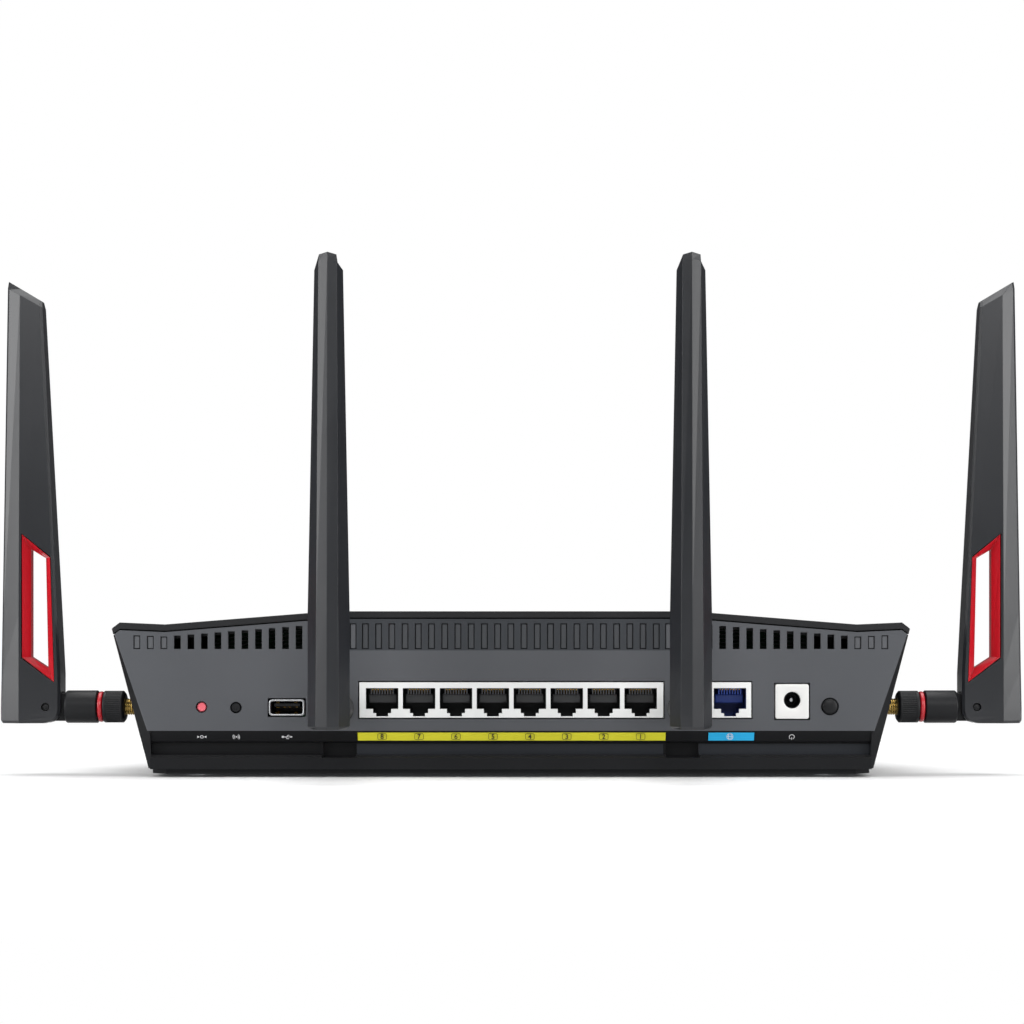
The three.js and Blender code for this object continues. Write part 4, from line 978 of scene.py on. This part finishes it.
low, high = corners_of("power_jack")
inlet_size = high - low
inlet_middle = np.array([(low[0] + high[0]) / 2, low[1], (low[2] + high[2]) / 2]) * MM
pin_low, pin_high = corners_of("power_jack_pin")
hole_rise = (pin_low[2] + pin_high[2]) / 2 - (low[2] + high[2]) / 2
outline = rounded_outline(inlet_size[0], inlet_size[2], 0.8, CORNER_STEPS)
angle = (np.linspace(0, np.pi / 2, CORNER_STEPS) + np.arange(4)[:, None] * np.pi / 2).ravel()
circle = np.stack([np.cos(angle), np.sin(angle)], 1)
rows = [
    (inlet_size[1], outline * 0), (inlet_size[1], outline),
    (0.3, outline), (0.05, outline * 0.985), (0, outline * 0.96),
    *((depth, circle * radius + [0, hole_rise]) for depth, radius in HOLE_STEPS),
    (HOLE_STEPS[-1][0], circle * 0 + [0, hole_rise]),
]
skin = [np.stack([flat[:, 0], np.full(len(flat), depth), flat[:, 1]], 1) for depth, flat in rows]
inlet = np.array([inlet_middle + MM * row for row in skin])
build("power_inlet", [inlet], "white_plastic", stands_for=["power_jack"], crease=40)
hole = inlet_middle + np.array([0, 0, hole_rise * MM])
liner = [(0.45, 3.08), (0.45, 2.85), (10.6, 2.85), (10.6, 0), (10.7, 0), (10.7, 3.08)]
build("power_liner", [turned(liner, hole, INWARD, 48)], "black_plastic")
front, back = pin_low[1] - low[1], pin_high[1] - low[1]
tip = [
    (front, 0), (front + 0.12, 0.6), (front + 0.5, 0.95), (front + 0.9, 1.1),
    (back, 1.1), (back, 0),
]
tip = [turned(tip, hole, INWARD, 32)]
build("power_pin", tip, "steel", stands_for=["power_jack_pin"])
print("inlet:", np.round(inlet_size, 1), "mm")

# %% [markdown]
# Push buttons are turned caps with a rounded rim. The power button is a low dome, the pairing
# button is slightly dished, and the others are nearly flat. A wider skirt behind the wall keeps
# each from falling out.

# %% Buttons
# For each: the cap's radius, how far its middle stands over its rim (less than nothing for a
# dished one), and how deep the skirt lies.
BUTTONS = {
    "power_button": (2.9, 0.5, 2.7),
    "pairing_button": (1.75, -0.12, 2.7),
    "reset_button": (1.75, 0.1, 2.7),
    "radio_button": (3.0, 0.12, 6.6),
    "light_button": (3.0, 0.12, 6.6),
}
FRONT_BUTTONS = ("radio_button", "light_button")


def cap_profile(cap, dome, wall, skirt, deep):
    """A dome over the cap, dome * (1 - (r / cap)^2), a rim rounded in two steps, the shank and
    the skirt, as (distance inward from the face, radius)."""
    r = np.linspace(0, cap * 0.86, 7)
    crown = [(abs(dome) - dome * (1 - (a / cap) ** 2) - max(-dome, 0), a) for a in r]
    rim = abs(dome) + 0.05
    edge = [(rim + 0.1, cap * 0.95), (rim + 0.3, cap)]
    shank = [(wall, cap), (wall, skirt), (wall + 0.9, skirt), (wall + 1, cap), (deep, cap), (deep, 0)]
    return [*crown, *edge, *shank]


for button, (cap, dome, skirt_depth) in BUTTONS.items():
    low, high = corners_of(button)
    rear = button not in FRONT_BUTTONS
    face, inward = (low[1], 1) if rear else (high[1], -1)
    wall = skirt_depth + (panel_y / MM - face if rear else 0)
    start = np.array([(low[0] + high[0]) / 2, face, (low[2] + high[2]) / 2]) * MM
    profile = cap_profile(cap, dome, wall, (high[2] - low[2]) / 2, high[1] - low[1])
    grids = [turned(profile, start, (0, inward, 0), 48)]
    slot = slot_of[button]
    build(button + "_cap", grids, slot, body=body_of[button], stands_for=[button])
print("buttons:", len(BUTTONS))

# %% [markdown]
# Four soft feet and four screws hold the case underneath. The feet have turned rings that grip
# the table. A screw head's cross is cut by a height field: a point sinks where it lies within
# either arm of the cross, and the arm's walls are steep but not quite upright.

# %% Feet and screws
CORNERS = ("rear_left", "rear_right", "front_left", "front_right")
HEAD_HEIGHT = 1.6
GRIP_RINGS = [
    (0, 0), (0, 2.2), (0.35, 2.6), (0.35, 3.4), (0, 3.8),
    (0, 5.6), (0.35, 6.0), (0.35, 6.8), (0, 7.2), (0, 8),
]


def screw_head(centre, bottom, radius, tall, rows=26, sides=72):
    """Rings of growing radius; depth = 1 mm where the smaller of |x| and |y| is under the arm's
    half width and the larger one is under its length, then the rim and the back of the head."""
    r = np.linspace(0, radius - 0.35, rows)[:, None]
    angle = np.linspace(0, 2 * np.pi, sides, endpoint=False)
    x, y = r * np.cos(angle), r * np.sin(angle)
    narrow, long = np.minimum(abs(x), abs(y)), np.maximum(abs(x), abs(y))
    sunk = np.clip((0.42 - narrow) / 0.14, 0, 1) * np.clip((1.75 - long) / 0.5, 0, 1)
    dome = 0.25 * (r / radius) ** 2
    face = np.stack([x, y, bottom + sunk + dome], -1)
    shank = [(1.6, tall), (1.6, tall + 14), (0.4, tall + 15.5), (0, tall + 15.5)]
    rim = [(radius, 0.5), (radius, tall), *shank]
    ring = np.stack([np.cos(angle), np.sin(angle), np.zeros(sides)], -1)
    sides_grid = np.array([a * ring + [0, 0, bottom + b] for a, b in rim])
    return np.array(centre) + MM * np.concatenate([face, sides_grid])


for corner in CORNERS:
    low, high = corners_of(f"foot_{corner}")
    centre, radius = (low + high) / 2 * MM, (high[0] - low[0]) / 2
    rim = [(0.15, radius - 0.55), (0.45, radius - 0.2), (0.9, radius), (high[2], radius), (high[2], 0)]
    foot = turned([*GRIP_RINGS, *rim], (centre[0], centre[1], 0), UP, 72)
    build(f"grip_foot_{corner}", [foot], "rubber", stands_for=[f"foot_{corner}"])
    low, high = corners_of(f"screw_{corner}")
    centre = ((low[0] + high[0]) / 2 * MM, (low[1] + high[1]) / 2 * MM, 0)
    screw = screw_head(centre, low[2], (high[0] - low[0]) / 2, HEAD_HEIGHT)
    build(f"cross_screw_{corner}", [screw], "steel", stands_for=[f"screw_{corner}"], crease=50)
print("feet and screws:", 2 * len(CORNERS))

# %% [markdown]
# The printed marks are ink a few hundredths of a millimetre thick. The port numbers come from
# the built-in typeface and are made mesh at once. The pictograms are strokes and small plates,
# each worked out from circles, arcs and straight runs about its middle.

# %% Ink
INK = 0.03 * MM
REAR = np.array([0, -1, 0])


def meeting(node, start, ahead):
    """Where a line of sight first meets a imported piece, and which way the surface faces there."""
    shape = bmesh.new()
    shape.from_mesh(frame["nodes"][node].data)
    place, facing, _, _ = BVHTree.FromBMesh(shape).ray_cast(start, ahead)
    shape.free()
    return np.array(place), np.array(facing)


def face_up(facing):
    """The direction that runs up a face which is square to `facing` and level along X."""
    return np.cross(facing, (-1, 0, 0))


def ink_stroke(points, spot, facing, wide=0.22):
    """A stroke of ink through points given in millimetres about a spot on a face."""
    points = np.array(points, float) * MM
    middle = np.array(spot) + INK / 2 * np.array(facing)
    path = middle + points[:, :1] * ACROSS + points[:, 1:] * face_up(facing)
    return stroke(path, wide * MM, INK, facing)


def ink_plate(points, spot, facing):
    """A filled shape of ink, fanned about its middle."""
    return stacked(points, [(0, 0), (INK / MM, 0)], spot, ACROSS, face_up(facing), facing)


def arc(radius, start, end, steps=20, squash=1.0):
    """Points at `radius` from `start` to `end` degrees, narrowed sideways by `squash`."""
    angle = np.radians(np.linspace(start, end, steps))
    return np.stack([radius * squash * np.cos(angle), radius * np.sin(angle)], 1)


def digit_points(text, size):
    """The typeface's outline of a short text as a mesh, its middle at the origin, facing -Y."""
    letters = bpy.data.curves.new("digit", "FONT")
    letters.body, letters.size, letters.extrude, letters.offset = text, size, INK / 2, 0.05 * MM
    letters.align_x, letters.align_y = "CENTER", "CENTER"
    holder = bpy.data.objects.new("digit", letters)
    mesh = bpy.data.meshes.new_from_object(holder)
    bpy.data.objects.remove(holder)
    return mesh


def port_numbers():
    """Each number's mesh, turned upright with x, y, z -> x, -z, y and set under its socket."""
    shape = bmesh.new()
    for number in range(1, 9):
        mesh = digit_points(str(number), 2.5 * MM)
        points = np.zeros(len(mesh.vertices) * 3)
        mesh.vertices.foreach_get("co", points)
        x, y, z = points.reshape(-1, 3).T
        x, y = x - (x.max() + x.min()) / 2, y - (y.max() + y.min()) / 2
        x += centres[f"lan_socket_{number}"]
        placed = np.stack([x, panel_y - INK / 2 - z, y + LABEL_LEVEL], 1)
        mesh.vertices.foreach_set("co", placed.ravel())
        shape.from_mesh(mesh)
        bpy.data.meshes.remove(mesh)
    whole = bpy.data.meshes.new("port_numbers")
    bmesh.ops.recalc_face_normals(shape, faces=shape.faces)
    shape.to_mesh(whole)
    shape.free()
    return whole


label_low, label_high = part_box("lan_label")
LABEL_LEVEL = (label_low[2] + label_high[2]) / 2
add_piece("port_numbers", port_numbers(), finishes["dark_ink"], "root")
ring = rounded_outline(3.3, 2.25, 0.55)
ring = np.concatenate([ring, ring[:1]])
spots = [(centres[f"lan_socket_{n}"], panel_y, LABEL_LEVEL) for n in range(1, 9)]
frames = [ink_stroke(ring, spot, REAR, 0.16) for spot in spots]
build("port_number_frames", frames, "dark_ink")

globe = [arc(1.15, 0, 360, 33), arc(1.15, 0, 360, 33, 0.45), [(-1.15, 0), (1.15, 0)]]
spot = (centres["wan_socket"], panel_y, LABEL_LEVEL)
marks = [ink_stroke(points, spot, REAR, 0.17) for points in globe]
build("uplink_globe", marks, "white_ink")

SIGN_LEVEL = 15.15 * MM
circle = arc(0.55, 0, 360, 25)
left_tip = np.array([(-1.7, 0.5), (-1.7, -0.5), (-0.85, 0)])
plates = {
    "reset_button": [left_tip, left_tip * [-1, 1]],
    "pairing_button": [arc(0.3, 0, 330, 12)],
    "usb": [rounded_outline(0.9, 0.8, 0.15) - [1.6, 0], np.array([(1.3, -0.45), (2.1, 0), (1.3, 0.45)])],
    "power_button": [],
}
strokes = {
    "reset_button": [circle],
    "pairing_button": [arc(r, start - 50, start + 50) for r in (0.75, 1.25) for start in (0, 180)],
    "usb": [
        [(-1.2, 0), (1.4, 0)],
        [(-0.6, 0), (-0.1, 0.75), (0.7, 0.75)],
        [(-0.1, 0), (0.3, -0.7), (0.9, -0.7)],
    ],
    "power_button": [arc(0.95, 120, 420, 33), [(0, 0.2), (0, 1.2)]],
}
over = {"reset_button": "reset_button", "pairing_button": "pairing_button", "usb": "usb_rear_shell"}
where = {name: float(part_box(node)[0][0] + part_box(node)[1][0]) / 2 for name, node in over.items()}
where["power_button"] = float(inlet_middle[0])    # the power sign belongs to the inlet
marks = []
for name in strokes:
    eye = (where[name], panel_y - 60 * MM, SIGN_LEVEL)
    spot, facing = meeting("bottom_case", eye, INWARD)
    marks += [ink_stroke(points, spot, facing) for points in strokes[name]]
    flat = [ink_plate(points, spot, facing) for points in plates[name]]
    if flat:
        build(f"{name}_sign", flat, "white_ink")
build("rear_signs", marks, "white_ink")
print("the strip faces", np.round(facing, 2))

# %% [markdown]
# The status window is a smoked pane with a row of small lenses under it, each lit from the
# board. From outside they are faint white dashes, so they are set just proud of the pane.

# %% Status marks
pane_low, pane_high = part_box("light_window")
MARKS = 9
dash = rounded_outline(3.2, 0.9, 0.4)
marks = []
levels = [(-0.2, 0), (0.02, 0), (0.04, 0.15)]
for x in np.linspace(pane_low[0], pane_high[0], MARKS + 2)[1:-1]:
    overhead = (x, (pane_low[1] + pane_high[1]) / 2, 0.3)
    spot, up = meeting("light_window", overhead, (0, 0, -1))
    across = np.cross(INWARD, up)
    across /= np.linalg.norm(across)
    marks.append(stacked(dash, levels, spot, across, np.cross(up, across), up))
build("status_marks", marks, "white_ink")
print("status marks:", len(marks))

# %% [markdown]
# Inside, the board carries what makes it a board: can capacitors near the power inlet, flat
# chips with rows of bent legs, transformer blocks behind the network sockets, and thin coaxial
# leads from the shielding can to the antenna connectors. Some of it shows through the vents.

# %% Board parts
BOARD_TOP = float(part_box("main_board")[1][2]) / MM
# Chips and blocks: x, y, width, depth and height. Capacitors: x, y, radius and height.
CHIPS = [
    (75, 18, 14, 14, 1.4), (75, 44, 9, 13, 1.2), (-10, 58, 12, 8, 1.2),
    (-62, 54, 14, 14, 1.4), (98, 22, 8, 8, 1),
]
BLOCKS = [
    (-42, -38, 24, 9, 5), (-14, -38, 24, 9, 5), (14, -38, 24, 9, 5), (42, -38, 24, 9, 5),
    (82, -36, 14, 9, 5), (100, -18, 7, 7, 3.5), (112, -18, 7, 7, 3.5), (60, -14, 6, 6, 3),
]
CANS = [
    (100, -38, 4, 11), (110, -38, 4, 11), (120, -34, 3.2, 8),
    (-84, -38, 3.2, 8), (-93, -38, 3.2, 8), (122, 0, 3.2, 8),
]
LEG_PITCH = 1.27


def block(x, y, wide, deep, tall, corner=0.4):
    """A moulded body: a rounded outline that widens to its middle and narrows again."""
    levels = [(0.15, 0.2), (tall / 2, 0), (tall - 0.2, 0.15), (tall, 0.35)]
    seat = (x * MM, y * MM, BOARD_TOP * MM)
    return stacked(rounded_outline(wide, deep, corner), levels, seat, ACROSS, INWARD, UP)


def legs(x, y, wide, deep, tall):
    """Bent legs down both long sides: out from the body, down, and flat on the board."""
    bend = np.array([(-0.1, 0.5), (0.4, 0.5), (0.7, 0.12), (1.3, 0.12)]) * [1, min(tall, 1.2)]
    made = []
    for along in np.arange(-deep / 2 + 1, deep / 2 - 0.6, LEG_PITCH):
        for side in (-1, 1):
            path = np.stack([side * (wide / 2 + bend[:, 0]), np.full(4, along), bend[:, 1]], 1)
            made.append(stroke(MM * (path + [x, y, BOARD_TOP]), 0.4 * MM, 0.14 * MM, UP))
    return made


build("board_chips", [block(*chip) for chip in CHIPS], "black_plastic")
build("chip_legs", [leg for chip in CHIPS for leg in legs(*chip)], "steel")
coils = [block(*size, corner=0.8) for size in BLOCKS]
build("board_blocks", coils, "socket_plastic")
sleeves, crowns = [], []
for x, y, radius, tall in CANS:
    seat = (x * MM, y * MM, BOARD_TOP * MM)
    sleeve = [
        (0.1, 0), (0.1, radius), (0.9, radius), (1.3, radius - 0.3), (1.7, radius),
        (tall - 0.4, radius), (tall - 0.1, radius - 0.4), (tall - 0.1, 0),
    ]
    crown = [
        (tall - 0.05, 0), (tall - 0.05, radius - 0.5), (tall, radius - 0.7),
        (tall - 0.02, radius - 1.4), (tall, 0),
    ]
    sleeves.append(turned(sleeve, seat, UP, 32))
    crowns.append(turned(crown, seat, UP, 32))
build("capacitor_sleeves", sleeves, "black_plastic")
build("capacitor_crowns", crowns, "steel")
print("on the board:", len(CHIPS), "chips,", len(BLOCKS), "blocks,", len(CANS), "capacitors")


# %% [markdown]
# Thin coaxial leads run from the board and its shielding can to the four connectors. A cubic
# curve hangs like such a lead and needs only its two ends and one bend.


# %% Coaxial leads
LEAD_RADIUS = 0.65


def lead(start, bend, end):
    """A thin round lead along a cubic curve: p(t) weighs start, two pulls and end by (1 - t)^3,
    3 t (1 - t)^2, 3 t^2 (1 - t) and t^3, with a ring of eight points square to it."""
    t = np.linspace(0, 1, 28)[:, None]
    pulls = [np.array(point, float) for point in (start, bend, (*end[:2], end[2] + 7), end)]
    weights = [(1 - t) ** 3, 3 * t * (1 - t) ** 2, 3 * t**2 * (1 - t), t**3]
    path = sum(weight * pull for weight, pull in zip(weights, pulls)) * MM
    ahead = np.gradient(path, axis=0)
    ahead /= np.linalg.norm(ahead, axis=1, keepdims=True)
    side = np.cross(ahead, [0.13, 0.21, 0.97])
    side /= np.linalg.norm(side, axis=1, keepdims=True)
    over = np.cross(side, ahead)
    angle = np.linspace(0, 2 * np.pi, 8, endpoint=False)[:, None]
    round_it = np.cos(angle) * side[:, None] + np.sin(angle) * over[:, None]
    ring = path[:, None] + LEAD_RADIUS * MM * round_it
    ends = [np.repeat(path[i][None, None], 8, axis=1) for i in (0, -1)]
    return np.concatenate([ends[0], ring, ends[1]])


LEADS = [
    ((-129, -44.5, 26), (-112, -44, 38), (-82, 2, 27)),
    ((129, -44.5, 26), (110, -30, 46), (50, 4, 22.5)),
    ((-64.6, -50.6, 26), (-66, -36, 36), (-62, 0, 27)),
    ((64.6, -50.6, 26), (68, -34, 38), (50, -4, 22.5)),
]
build("antenna_leads", [lead(*ends) for ends in LEADS], "rubber")
print("leads:", len(LEADS))
